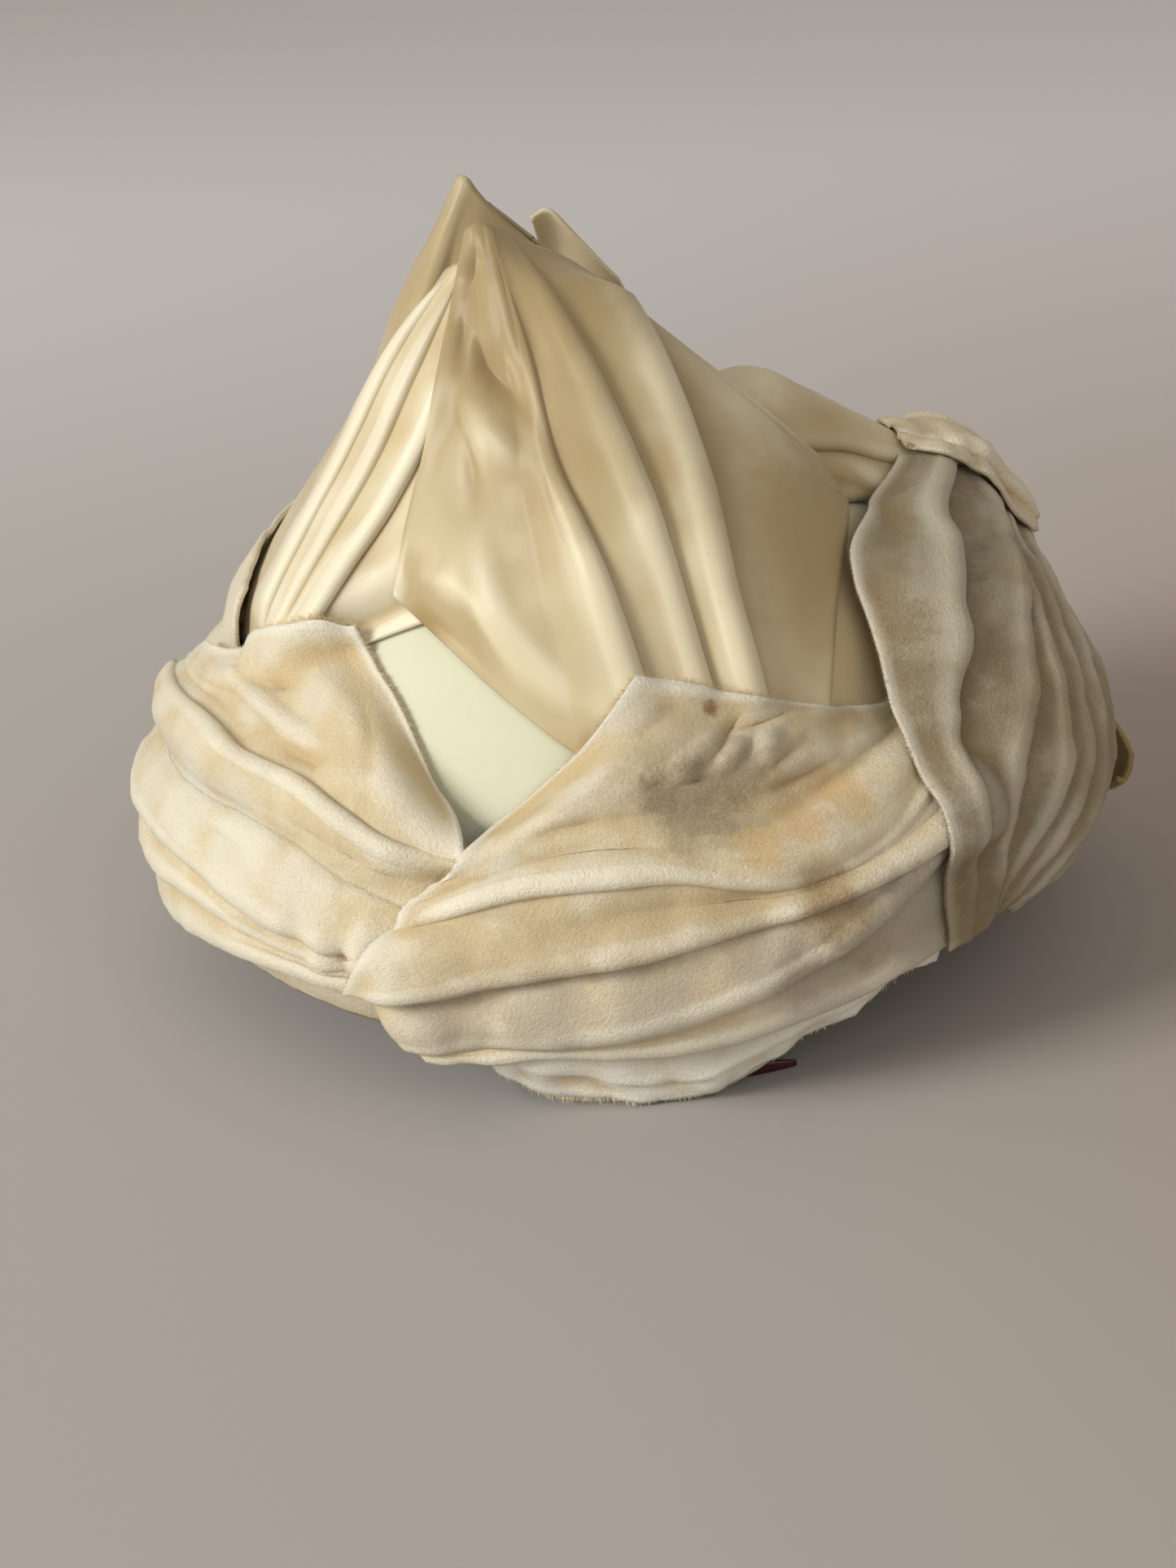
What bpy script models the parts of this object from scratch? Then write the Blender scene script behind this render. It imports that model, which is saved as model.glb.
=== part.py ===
"""A draped cocktail hat: a satin crown under satin petals and a band of folded velvet leaves.

The hat stands on the rim of its crown, with the middle of the head opening at the origin, +Z up and
the front of the hat towards -Y. Lengths in the tables are in millimetres and angles in degrees.
"""

import math
from collections import namedtuple

import bmesh
import bpy
import numpy as np
from mathutils import Vector
from mathutils.bvhtree import BVHTree

MM = 0.001
NO_LENGTH = 1e-6

# Crown: a stiff domed shell over an oval head opening.
HEAD_HALF_WIDTH = 88.0
HEAD_HALF_DEPTH = 84.0
CROWN_HEIGHT = 112.0
CROWN_SKIRT = 8.0
CROWN_SQUARENESS = 2.5
CROWN_WALL = 2.0
CROWN_RINGS = 9
CROWN_SIDES = 36
CROWN_BUTTON = 4.0
SKIRT_OVER_RIM = 2.0
WELD = 0.01

# The rim lies flat at the front and the back and arches up over the two sides.
RIM_ARCH = 16.0
RIM_FLAT_FRONT = 11.0
RIM_FULL_ARCH = 42.0
RIM_ARCH_END = 100.0
RIM_FLAT_BACK = 146.0

# Cloth: its walls, the gap it keeps to what it lies on, and how far and how often it is lifted clear.
SATIN_WALL = 1.2
VELVET_WALL = 1.6
EASE = 0.5
SETTLE_REACH = 26.0
SETTLE_PASSES = 3
SETTLE_SAMPLES = (0.0, 0.25, 0.5, 0.75, 1.0)
CELLS_ALONG = 10
HAT_MIDDLE = (-8.0, 5.0, 55.0)
# A fold's nose rises by at most this share of the cloth between two folds, past the room it needs.
FOLD_SHARE = 0.40
FOLD_ROOM = 3.0

# Where a sheet is cut between one fold and the next, with the height of the fold's nose there.
Cut = namedtuple("Cut", "share height")
PLEAT_CUTS = (Cut(0.0, 1.0), Cut(0.30, 0.86), Cut(0.68, 0.42), Cut(0.93, 0.04))
SMOOTH_CUTS = (Cut(0.0, 1.0), Cut(0.5, 0.35))

# How far the puffed velvet stands from the axis, at the front and over the full right side.
Girth = namedtuple("Girth", "rise front right")
VELVET_GIRTHS = (
    Girth(0, 89, 88),
    Girth(12, 95, 95),
    Girth(25, 100, 101),
    Girth(40, 102, 105),
    Girth(55, 98, 104),
    Girth(68, 90, 98),
    Girth(80, 78, 89),
    Girth(92, 64, 77),
    Girth(104, 46, 53),
)
VELVET_DEPTH_SHARE = 0.955
FULL_SIDE_TURN = 88.0
FULL_SIDE_REACH = 52.0
FULL_SIDE_BLEND = 30.0

# A satin fold runs from its foot at the velvet up to the peak, as x, y, z. The lap is how far the
# fold stands over the one before it in the table.
Pleat = namedtuple("Pleat", "lap foot low middle high tip")

RIGHT_DRAPE = (
    Pleat(1.5, (28, -36, 106), (43, -27, 103), (55, -8, 98), (64, 8, 89), (71, 16, 78)),
    Pleat(3.0, (26, -22, 112), (40, -12, 112), (51, 4, 109), (60, 12, 98), (68, 20, 82)),
    Pleat(0.0, (16, -4, 118), (34, 12, 117), (48, 18, 111), (58, 22, 100), (68, 26, 82)),
    Pleat(0.0, (10, 26, 114), (30, 40, 107), (45, 44, 99), (56, 42, 90), (66, 34, 81)),
)

REAR_PETAL = (
    Pleat(2.0, (74, 38, 66), (54, 42, 86), (36, 46, 99), (21, 48, 114), (8, 48, 135)),
    Pleat(3.0, (58, 62, 66), (47, 60, 84), (34, 56, 100), (19, 53, 118), (3, 49.5, 143)),
    Pleat(3.0, (30, 79, 66), (27, 73, 88), (20, 65, 109), (9, 57, 130), (-2.5, 50, 149)),
    Pleat(2.0, (0, 84, 66), (0, 77, 90), (-2, 68, 112), (-4, 58, 133), (-7, 50, 151)),
    Pleat(0.0, (-28, 78, 68), (-25, 73, 90), (-19, 65, 111), (-13, 56, 131), (-9, 49, 149)),
)

BACK_PETAL = (
    Pleat(1.5, (10, 84, 67), (4, 70, 92), (2, 54, 114), (4, 38, 132), (5, 26, 142)),
    Pleat(3.0, (-22, 82, 67), (-22, 72, 90), (-18, 58, 113), (-13, 40, 137), (-10, 22, 155)),
    Pleat(3.0, (-50, 68, 68), (-44, 62, 90), (-35, 52, 112), (-26, 37, 138), (-17, 24, 162)),
    Pleat(2.0, (-70, 42, 70), (-60, 40, 92), (-47, 34, 113), (-34, 27, 139), (-20.5, 23, 165)),
    Pleat(0.0, (-79, 15, 71), (-66, 15, 95), (-50, 14, 116), (-37, 13, 143), (-23, 21, 165)),
    Pleat(0.0, (-74, -18, 80), (-61, -17, 102), (-47, -13, 122), (-35, -6, 141), (-24, 8, 160)),
)

LEFT_PETAL = (
    Pleat(1.0, (-24, -60, 97), (-25, -52, 107), (-25, -42, 120), (-22, -29, 138), (-20, -16, 153)),
    Pleat(3.5, (-66, -43, 80), (-51, -43, 100), (-40, -39, 113), (-29, -32, 131), (-21, -17, 154)),
    Pleat(3.0, (-70, -39, 80), (-56, -37, 102), (-44, -32, 119), (-34, -26, 136), (-22.3, -18, 154)),
    Pleat(3.0, (-75, -31, 79), (-61, -30, 102), (-49, -25, 120), (-36, -21, 140), (-23.5, -17, 154)),
    Pleat(0.0, (-80, -12, 74), (-70, -9, 92), (-57, -10, 112), (-43, -16, 131), (-25, -15, 153)),
    Pleat(0.0, (-81, 10, 71), (-73, 11, 87), (-60, 7, 106), (-45, -6, 127), (-26, -12, 152)),
)

FRONT_PETAL = (
    Pleat(2.0, (38, -75, 70), (43, -54, 91), (48, -34, 101), (48, -22, 107), (44, -15, 111)),
    Pleat(4.0, (33, -75, 70), (28, -57, 97), (25, -38, 116), (17, -18, 136), (5, -5, 147)),
    Pleat(4.0, (23, -77, 72), (17, -58, 101), (11, -42, 121), (1, -24, 142), (-13, -14, 159)),
    Pleat(4.0, (9, -79, 74), (3, -63, 99), (-6, -47, 119), (-14, -31, 139), (-18, -17, 161.8)),
    Pleat(0.0, (-21, -73, 83), (-22, -63, 99), (-20, -47, 119), (-19, -30, 140), (-19.5, -17.6, 162)),
    Pleat(0.0, (-31, -65, 91), (-30, -56, 105), (-26, -42, 123), (-23, -28, 142), (-20.5, -18, 161.5)),
    Pleat(0.0, (-40, -55, 99), (-37, -49, 110), (-31, -37, 127), (-26, -26, 145), (-21.5, -18, 160.5)),
)

# A velvet fold runs along the hat, as turn from the front, rise, and stand off the velvet girth.
# The lap is how far the fold stands over the one before it in the table.
Fold = namedtuple("Fold", "lap start near middle far end")

FRONT_HEM = (
    Fold(0.0, (-28, 12, -5), (-11, 2.2, -1), (6, 2.2, -1), (20, 9, -4), (45, 20, -8)),
    Fold(1.5, (-28, 18, -3), (-11, 10, -2), (6, 10, -2), (20, 17, -2), (45, 27, -4)),
    Fold(0.0, (-28, 26, -5), (-11, 22, -6), (6, 22, -6), (20, 29, -5), (45, 40, -6)),
)

FRONT_BAND = (
    Fold(3.5, (-33, 19, 0), (-14, 14.5, 0), (6, 16, 0), (24, 22, 0), (43, 29, -1)),
    Fold(4.5, (-33, 23, 1), (-16, 17.5, 1), (4, 23, 2), (22, 35, 2), (43, 50, 0)),
    Fold(0.0, (-33, 29, 1), (-15, 29, 3), (5, 36, 3), (24, 46, 2), (43, 57, -1)),
    Fold(0.0, (-33, 36, -4), (-14, 41, -4), (6, 48, -4), (25, 57, -5), (43, 63, -6)),
)

BACK_BAND = (
    Fold(0.0, (-106, 20, -9), (-141, 7, -6), (-180, 2.2, -1), (-219, 7, -6), (-252, 20, -9)),
    Fold(3.0, (-106, 27, -2), (-141, 20, -1), (-180, 17, 0), (-219, 20, -1), (-252, 28, -2)),
    Fold(3.0, (-106, 42, -2), (-141, 37, 0), (-180, 35, 0), (-219, 38, 0), (-252, 43, -2)),
    Fold(0.0, (-106, 56, -3), (-141, 55, 0), (-180, 54, 0), (-219, 55, 0), (-252, 56, -3)),
    Fold(0.0, (-106, 66, -9), (-141, 70, -8), (-180, 71, -8), (-219, 70, -8), (-252, 66, -9)),
)

LEFT_BAND = (
    Fold(0.0, (-32, 24, -6), (-45, 21, -6), (-62, 20, -7), (-85, 19, -8), (-112, 19, -8)),
    Fold(2.0, (-31, 28, -2), (-45, 31, -1), (-61, 30, -1), (-85, 25, -2), (-112, 25, -2)),
    Fold(2.0, (-31, 32, -1), (-45, 36, 0), (-61, 40, 0), (-85, 36, -1), (-112, 35, -1)),
    Fold(3.0, (-31, 36, -1), (-44, 42, 0), (-61, 48, 0), (-85, 47, -1), (-112, 46, -1)),
    Fold(0.0, (-30, 44, -2), (-43, 53, -3), (-60, 56, -4), (-85, 58, -4), (-112, 57, -4)),
    Fold(0.0, (-28, 51, -9), (-42, 60, -10), (-60, 64, -10), (-85, 67, -10), (-112, 67, -9)),
)

BACK_LEFT_LEAF = (
    Fold(1.5, (-92, 62, -6), (-104, 64, -2), (-117, 64, -1), (-133, 63, -2), (-148, 60, -5)),
    Fold(0.0, (-91, 70, -4), (-103, 74, 1), (-116, 75, 1), (-132, 73, 0), (-149, 67, -4)),
    Fold(0.0, (-90, 77, -5), (-102, 83, 1), (-115, 84, 1), (-132, 80, -1), (-150, 73, -5)),
)

LEFT_LEAF = (
    Fold(2.0, (-16, 46, 0), (-36, 54, 0), (-55, 60, 0), (-77, 63, 0), (-98, 60, -3)),
    Fold(0.0, (-17, 51, 2), (-34, 59, 4), (-52, 65, 5), (-74, 69, 4), (-99, 66, 0)),
    Fold(0.0, (-19, 56, 0), (-32, 65, 0), (-47, 70, 0), (-68, 74, 0), (-99, 71, -1)),
    Fold(0.0, (-31, 72, 0), (-42, 76, 1), (-56, 78, 2), (-73, 79, 1), (-99, 75, -3)),
    Fold(0.0, (-54, 85, 4), (-61, 84, 3), (-71, 83, 2), (-84, 82, 0), (-99, 79, -5)),
)

FRONT_LEAF = (
    Fold(2.5, (-33, 28, 1), (-15, 33, 2), (2, 38, 2), (20, 44, 2), (42, 51, -2)),
    Fold(0.0, (-29, 37, 1), (-13, 43, 2), (3, 46, 2), (20, 49, 2), (42, 55, -2)),
    Fold(2.5, (-25, 45, 1), (-10, 52, 2), (4, 54, 2), (21, 54, 2), (41, 59, -1)),
    Fold(0.0, (-21, 52, 1), (-8, 58, 1), (6, 60, 1), (22, 59, 0), (41, 63, -2)),
    Fold(0.0, (-13, 65, 1), (-3, 68, 2), (10, 69, 2), (24, 67, 1), (41, 67, -2)),
    Fold(0.0, (3, 81, 1), (13, 79, 1), (23, 76, 1), (32, 74, 1), (42, 71, -2)),
)

RIGHT_LEAF = (
    Fold(1.5, (52, 22, -4), (76, 26, 2), (98, 42, 3), (109, 64, 3), (106, 86, 2)),
    Fold(3.0, (47, 29, 0), (64, 44, 3), (79, 60, 3), (91, 72, 3), (101, 87, 2)),
    Fold(3.0, (45, 31, 1), (58, 43, 3), (66, 56, 3), (75, 73, 3), (98, 89, 2)),
    Fold(3.0, (43, 31, 2), (53, 44, 3), (60, 60, 4), (68, 78, 3), (97, 91, 2)),
    Fold(3.5, (41, 30, 2), (47, 48, 4), (55, 65, 4), (66, 82, 3), (97, 93, 2)),
    Fold(2.0, (39, 29, 2), (41, 56, 3), (49, 75, 4), (61, 90, 3), (97, 95, 2)),
    Fold(0.0, (37, 27, 1), (37, 53, 1), (42, 80, 1), (56, 97, 0), (96, 97, 1)),
)

RIGHT_TIP = (
    Fold(2.0, (122, 12, -5), (114, 14, -1), (106, 18, 2), (98, 24, 5), (91, 32, 8)),
    Fold(0.0, (122, 34, -3), (114, 35, 2), (106, 36, 4), (98, 35, 6), (91, 33.5, 8.5)),
    Fold(0.0, (122, 58, -5), (114, 55, -1), (106, 50, 2), (98, 42, 5), (91, 35, 8)),
)

# The knot is a short folded wrap over the place where the right leaf is gathered, as x, y, z.
KNOT = (
    Pleat(2.0, (64, 5, 99), (70, 2, 99), (78, 1, 95), (86, 2, 87), (92, 3, 79)),
    Pleat(5.0, (63, 13, 104), (70, 12, 104), (79, 11, 101), (87, 11, 91), (94, 11, 80)),
    Pleat(5.0, (63, 22, 103), (71, 21, 103), (80, 20, 99), (88, 20, 89), (94, 20, 78)),
    Pleat(0.0, (64, 32, 96), (72, 32, 95), (80, 32, 91), (86, 32, 83), (91, 31, 73)),
)

# Ribbon end that shows inside the rim.
RIBBON_TURNS = (5.0, 21.0)
RIBBON_HEIGHTS = (6.0, 1.2)
RIBBON_WALL = 1.0
RIBBON_RISE = 0.4
RIBBON_PARTS = 6

# Finish: colour, roughness, metallic.
Finish = namedtuple("Finish", "colour roughness metallic")
CROWN_SATIN = Finish((0.84, 0.78, 0.60), 0.50, 0.0)
PETAL_SATIN = Finish((0.80, 0.68, 0.44), 0.38, 0.0)
VELVET = Finish((0.83, 0.73, 0.55), 0.80, 0.0)
RIBBON_SATIN = Finish((0.05, 0.004, 0.010), 0.30, 0.0)


def blend_in(value):
    """Ease a share from 0 to 1 with a level start and end."""
    value = np.clip(value, 0.0, 1.0)
    return value * value * (3.0 - 2.0 * value)


def around(turn):
    """Bring an angle into the range from -180 to 180 degrees."""
    return (np.asarray(turn, float) + 180.0) % 360.0 - 180.0


def rim_rise(turn):
    """Height of the crown's rim above the surface the hat rests on, at a turn from the front."""
    side = abs(float(around(turn)))
    up = blend_in((side - RIM_FLAT_FRONT) / (RIM_FULL_ARCH - RIM_FLAT_FRONT))
    down = blend_in((RIM_FLAT_BACK - side) / (RIM_FLAT_BACK - RIM_ARCH_END))
    return RIM_ARCH * float(min(up, down))


def crown_narrowing(rise):
    """Share of the opening's width that the crown still has at a height."""
    share = max(0.0, rise - CROWN_SKIRT) / (CROWN_HEIGHT - CROWN_SKIRT)
    return (1.0 - min(1.0, share) ** CROWN_SQUARENESS) ** (1.0 / CROWN_SQUARENESS)


def velvet_reach(turn, rise):
    """Distance of the puffed velvet from the axis at a turn and a height."""
    rises = [girth.rise for girth in VELVET_GIRTHS]
    front = np.interp(rise, rises, [girth.front for girth in VELVET_GIRTHS])
    right = np.interp(rise, rises, [girth.right for girth in VELVET_GIRTHS])
    away = np.abs(around(turn - FULL_SIDE_TURN))
    share = blend_in((FULL_SIDE_REACH - away) / FULL_SIDE_BLEND)
    angle = np.radians(turn)
    oval = np.sqrt(np.sin(angle) ** 2 + (np.cos(angle) / VELVET_DEPTH_SHARE) ** 2)
    return (front + (right - front) * share) / oval


def on_velvet(stations):
    """Places of velvet stations, given as turn, rise and stand."""
    turn, rise, stand = np.moveaxis(stations, -1, 0)
    reach = velvet_reach(turn, rise) + stand
    angle = np.radians(turn)
    return np.stack([reach * np.sin(angle), -reach * np.cos(angle), rise], axis=-1)


def in_space(stations):
    """Places of satin stations, which are already x, y, z."""
    return stations


def smooth(stations, shares):
    """Read a smooth curve through the stations at shares from 0 to 1 of its way."""
    stations = np.asarray(stations, float)
    last = len(stations) - 1
    before = 2.0 * stations[:1] - stations[1:2]
    after = 2.0 * stations[-1:] - stations[-2:-1]
    padded = np.concatenate([before, stations, after])
    places = np.clip(np.asarray(shares, float), 0.0, 1.0) * last
    index = np.minimum(places.astype(int), last - 1)
    part = (places - index).reshape((-1,) + (1,) * (stations.ndim - 1))
    p0, p1, p2, p3 = (padded[index + step] for step in range(4))
    bend = 2.0 * p0 - 5.0 * p1 + 4.0 * p2 - p3
    twist = 3.0 * p1 - p0 - 3.0 * p2 + p3
    return 0.5 * (2.0 * p1 + (p2 - p0) * part + bend * part**2 + twist * part**3)


def cut_list(folds):
    """Rows of a sheet: its place among the folds, the fold it belongs to and its nose's share."""
    rows = []
    for index, fold in enumerate(folds[:-1]):
        cuts = PLEAT_CUTS if fold.lap or folds[index + 1].lap else SMOOTH_CUTS
        rows += [(index + cut.share, index, cut.height) for cut in cuts]
    rows.append((len(folds) - 1.0, len(folds) - 1, 1.0))
    return rows


def unit(ways):
    """Directions brought to a length of one."""
    return ways / np.maximum(np.linalg.norm(ways, axis=-1, keepdims=True), NO_LENGTH)


def outward(points, centre):
    """Softened unit directions that point out of a grid of places, away from a centre."""
    along = np.gradient(points, axis=1)
    across = np.gradient(points, axis=0)
    normal = np.pad(np.cross(unit(across), unit(along)), ((1, 1), (1, 1), (0, 0)), mode="edge")
    normal = normal[:-2] + 2.0 * normal[1:-1] + normal[2:]
    normal = normal[:, :-2] + 2.0 * normal[:, 1:-1] + normal[:, 2:]
    if np.sum(normal * (points - np.array(centre))) < 0.0:
        normal = -normal
    return unit(normal)


def folded(folds, place):
    """Grid of places of a folded sheet, with the outward direction at each."""
    shares = np.linspace(0.0, 1.0, CELLS_ALONG + 1)
    lines = np.array([smooth(fold[1:], shares) for fold in folds])
    rows = cut_list(folds)
    base = place(smooth(lines, [row[0] / (len(folds) - 1) for row in rows]))
    normal = outward(base, HAT_MIDDLE)
    laps = np.array([folds[row[1]].lap * row[2] for row in rows])
    fold_places = place(lines)
    steps = np.linalg.norm(np.diff(fold_places, axis=0), axis=-1)
    widths = np.array([steps[min(row[1], len(steps) - 1)] for row in rows])
    heights = np.minimum(laps[:, None], FOLD_SHARE * np.maximum(widths - FOLD_ROOM, 0.0))
    return base + normal * heights[..., None], normal


def between(grid, share_down, share_right):
    """Places inside every cell of a grid."""
    top = grid[:-1, :-1] * (1 - share_right) + grid[:-1, 1:] * share_right
    bottom = grid[1:, :-1] * (1 - share_right) + grid[1:, 1:] * share_right
    return top * (1 - share_down) + bottom * share_down


def settle(grid, normal, tree):
    """Lift a sheet along its outward directions until it clears everything under it."""
    if tree is None:
        return grid
    for _ in range(SETTLE_PASSES):
        lift = np.full(grid.shape[:2], -1.0)
        for down in SETTLE_SAMPLES:
            for right in SETTLE_SAMPLES:
                places = between(grid, down, right)
                ways = between(normal, down, right)
                need = np.full(places.shape[:2], -1.0)
                for cell in np.ndindex(need.shape):
                    way = Vector(ways[cell]).normalized()
                    start = Vector(places[cell]) + way * SETTLE_REACH
                    hit = tree.ray_cast(start, -way, 2.0 * SETTLE_REACH)
                    if hit[0] is not None:
                        need[cell] = SETTLE_REACH - hit[3] + EASE
                for shift_down, shift_right in ((0, 0), (0, 1), (1, 0), (1, 1)):
                    rows = slice(shift_down, shift_down + need.shape[0])
                    columns = slice(shift_right, shift_right + need.shape[1])
                    lift[rows, columns] = np.maximum(lift[rows, columns], need)
        grid = grid + normal * np.maximum(lift, 0.0)[..., None]
    return grid


def grid_mesh(name, grid, normal):
    """Mesh of a grid of places in millimetres, facing along its outward directions."""
    rows, columns = grid.shape[:2]
    work = bmesh.new()
    bmesh.ops.create_grid(work, x_segments=columns - 1, y_segments=rows - 1, size=1.0)
    work.verts.ensure_lookup_table()
    for vertex, point in zip(work.verts, grid.reshape(-1, 3)):
        vertex.co = Vector(point) * MM
    work.normal_update()
    ways = normal.reshape(-1, 3)
    facing = sum(vertex.normal.dot(Vector(way)) for vertex, way in zip(work.verts, ways))
    if facing < 0.0:
        bmesh.ops.reverse_faces(work, faces=work.faces[:])
    mesh = bpy.data.meshes.new(name)
    work.to_mesh(mesh)
    work.free()
    return mesh


def finished(name, finish):
    """Material with a sub-part's colour, roughness and metallic value."""
    material = bpy.data.materials.new(name)
    material.use_nodes = True
    shader = material.node_tree.nodes["Principled BSDF"]
    shader.inputs["Base Color"].default_value = (*finish.colour, 1.0)
    shader.inputs["Roughness"].default_value = finish.roughness
    shader.inputs["Metallic"].default_value = finish.metallic
    return material


def add_object(name, mesh, finish, collection, wall=None):
    """Object of a mesh in the hat's collection, given a wall's thickness where it is a shell."""
    mesh.materials.append(finished(name, finish))
    mesh.shade_smooth()
    part = bpy.data.objects.new(name, mesh)
    collection.objects.link(part)
    if wall:
        shell = part.modifiers.new("Wall", "SOLIDIFY")
        shell.thickness = wall * MM
        shell.offset = 1.0
    return part


def settled_surfaces(parts):
    """Search tree over the parts that are already in place, in millimetres."""
    places = []
    faces = []
    depsgraph = bpy.context.evaluated_depsgraph_get()
    for part in parts:
        mesh = part.evaluated_get(depsgraph).to_mesh()
        first = len(places)
        places += [part.matrix_world @ vertex.co / MM for vertex in mesh.vertices]
        faces += [[first + index for index in face.vertices] for face in mesh.polygons]
    return BVHTree.FromPolygons(places, faces)


def crown_mesh(name):
    """Open outer surface of the crown, from its arched rim to a small button at the top."""
    work = bmesh.new()
    bmesh.ops.create_grid(work, x_segments=CROWN_SIDES, y_segments=CROWN_RINGS, size=1.0)
    work.verts.ensure_lookup_table()
    for index, vertex in enumerate(work.verts):
        ring, side = divmod(index, CROWN_SIDES + 1)
        turn = -180.0 + 360.0 * side / CROWN_SIDES
        rise = crown_rise(ring, turn)
        reach = crown_narrowing(rise)
        angle = math.radians(turn)
        across = HEAD_HALF_WIDTH * reach * math.sin(angle)
        ahead = -HEAD_HALF_DEPTH * reach * math.cos(angle)
        vertex.co = Vector((across, ahead, rise)) * MM
    bmesh.ops.remove_doubles(work, verts=work.verts[:], dist=WELD * MM)
    top = max(vertex.co.z for vertex in work.verts)
    ring_edges = [edge for edge in work.edges if edge.is_boundary]
    top_edges = [edge for edge in ring_edges if min(v.co.z for v in edge.verts) > top - MM]
    bmesh.ops.contextual_create(work, geom=top_edges)
    bmesh.ops.recalc_face_normals(work, faces=work.faces[:])
    if max(work.faces, key=lambda face: face.calc_center_median().z).normal.z < 0.0:
        bmesh.ops.reverse_faces(work, faces=work.faces[:])
    mesh = bpy.data.meshes.new(name)
    work.to_mesh(mesh)
    work.free()
    return mesh


def crown_rise(ring, turn):
    """Height of a ring of the crown: the first two bound the upright skirt, the last the button."""
    rim = rim_rise(turn)
    skirt_top = max(CROWN_SKIRT, rim + SKIRT_OVER_RIM)
    if ring == 0:
        return rim
    if ring == 1:
        return skirt_top
    share = (ring - 1) / (CROWN_RINGS - 1)
    slope = math.sin(0.5 * math.pi * share)
    button = CROWN_HEIGHT * (1.0 - (CROWN_BUTTON / HEAD_HALF_WIDTH) ** 2)
    return skirt_top + (button - skirt_top) * slope


def ribbon_grid():
    """Grid of the ribbon end, which tapers towards its tip just inside the crown's wall."""
    shares = np.linspace(0.0, 1.0, RIBBON_PARTS + 1)
    turns = np.radians(RIBBON_TURNS[0] + (RIBBON_TURNS[1] - RIBBON_TURNS[0]) * shares)
    heights = RIBBON_HEIGHTS[0] + (RIBBON_HEIGHTS[1] - RIBBON_HEIGHTS[0]) * shares
    inside = CROWN_WALL + EASE + RIBBON_WALL
    across = (HEAD_HALF_WIDTH - inside) * np.sin(turns)
    ahead = -(HEAD_HALF_DEPTH - inside) * np.cos(turns)
    low = np.stack([across, ahead, np.full_like(across, RIBBON_RISE)], axis=-1)
    high = np.stack([across, ahead, RIBBON_RISE + heights], axis=-1)
    grid = np.stack([low, high])
    return grid, outward(grid, HAT_MIDDLE)


def build_hat():
    """Model the hat from the crown outwards, laying each piece of cloth over those before it."""
    for old in list(bpy.data.objects):
        bpy.data.objects.remove(old, do_unlink=True)
    collection = bpy.data.collections.new("draped_cocktail_hat")
    bpy.context.scene.collection.children.link(collection)

    crown = add_object("crown", crown_mesh("crown"), CROWN_SATIN, collection, CROWN_WALL)
    crown.modifiers["Wall"].offset = -1.0
    parts = [crown]
    cloth = (
        ("right_drape", RIGHT_DRAPE, in_space, SATIN_WALL, PETAL_SATIN),
        ("back_petal", BACK_PETAL, in_space, SATIN_WALL, PETAL_SATIN),
        ("rear_petal", REAR_PETAL, in_space, SATIN_WALL, PETAL_SATIN),
        ("left_petal", LEFT_PETAL, in_space, SATIN_WALL, PETAL_SATIN),
        ("front_petal", FRONT_PETAL, in_space, SATIN_WALL, PETAL_SATIN),
        ("front_hem", FRONT_HEM, on_velvet, VELVET_WALL, VELVET),
        ("back_band", BACK_BAND, on_velvet, VELVET_WALL, VELVET),
        ("left_band", LEFT_BAND, on_velvet, VELVET_WALL, VELVET),
        ("front_band", FRONT_BAND, on_velvet, VELVET_WALL, VELVET),
        ("back_left_leaf", BACK_LEFT_LEAF, on_velvet, VELVET_WALL, VELVET),
        ("left_leaf", LEFT_LEAF, on_velvet, VELVET_WALL, VELVET),
        ("front_leaf", FRONT_LEAF, on_velvet, VELVET_WALL, VELVET),
        ("right_leaf", RIGHT_LEAF, on_velvet, VELVET_WALL, VELVET),
        ("right_tip", RIGHT_TIP, on_velvet, VELVET_WALL, VELVET),
        ("knot", KNOT, in_space, VELVET_WALL, VELVET),
    )
    for name, folds, place, wall, finish in cloth:
        grid, normal = folded(folds, place)
        grid = settle(grid, normal, settled_surfaces(parts))
        parts.append(add_object(name, grid_mesh(name, grid, normal), finish, collection, wall))
    grid, normal = ribbon_grid()
    ribbon = grid_mesh("ribbon_end", grid, normal)
    add_object("ribbon_end", ribbon, RIBBON_SATIN, collection, RIBBON_WALL)


build_hat()
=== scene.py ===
"""A draped cocktail hat in ivory satin and cream velvet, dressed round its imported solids.

The hat rests on its rim with the middle of the head opening at the origin, +Z up and the front of the
hat towards -Y. Lengths in the tables are in millimetres and angles in degrees.
"""

from __future__ import annotations

import logging
import math
import random
from collections.abc import Callable
from dataclasses import dataclass, replace
from enum import Enum
from typing import NamedTuple

import bmesh
import bpy
import numpy as np
from mathutils import Matrix, Vector, noise
from mathutils.bvhtree import BVHTree

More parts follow.
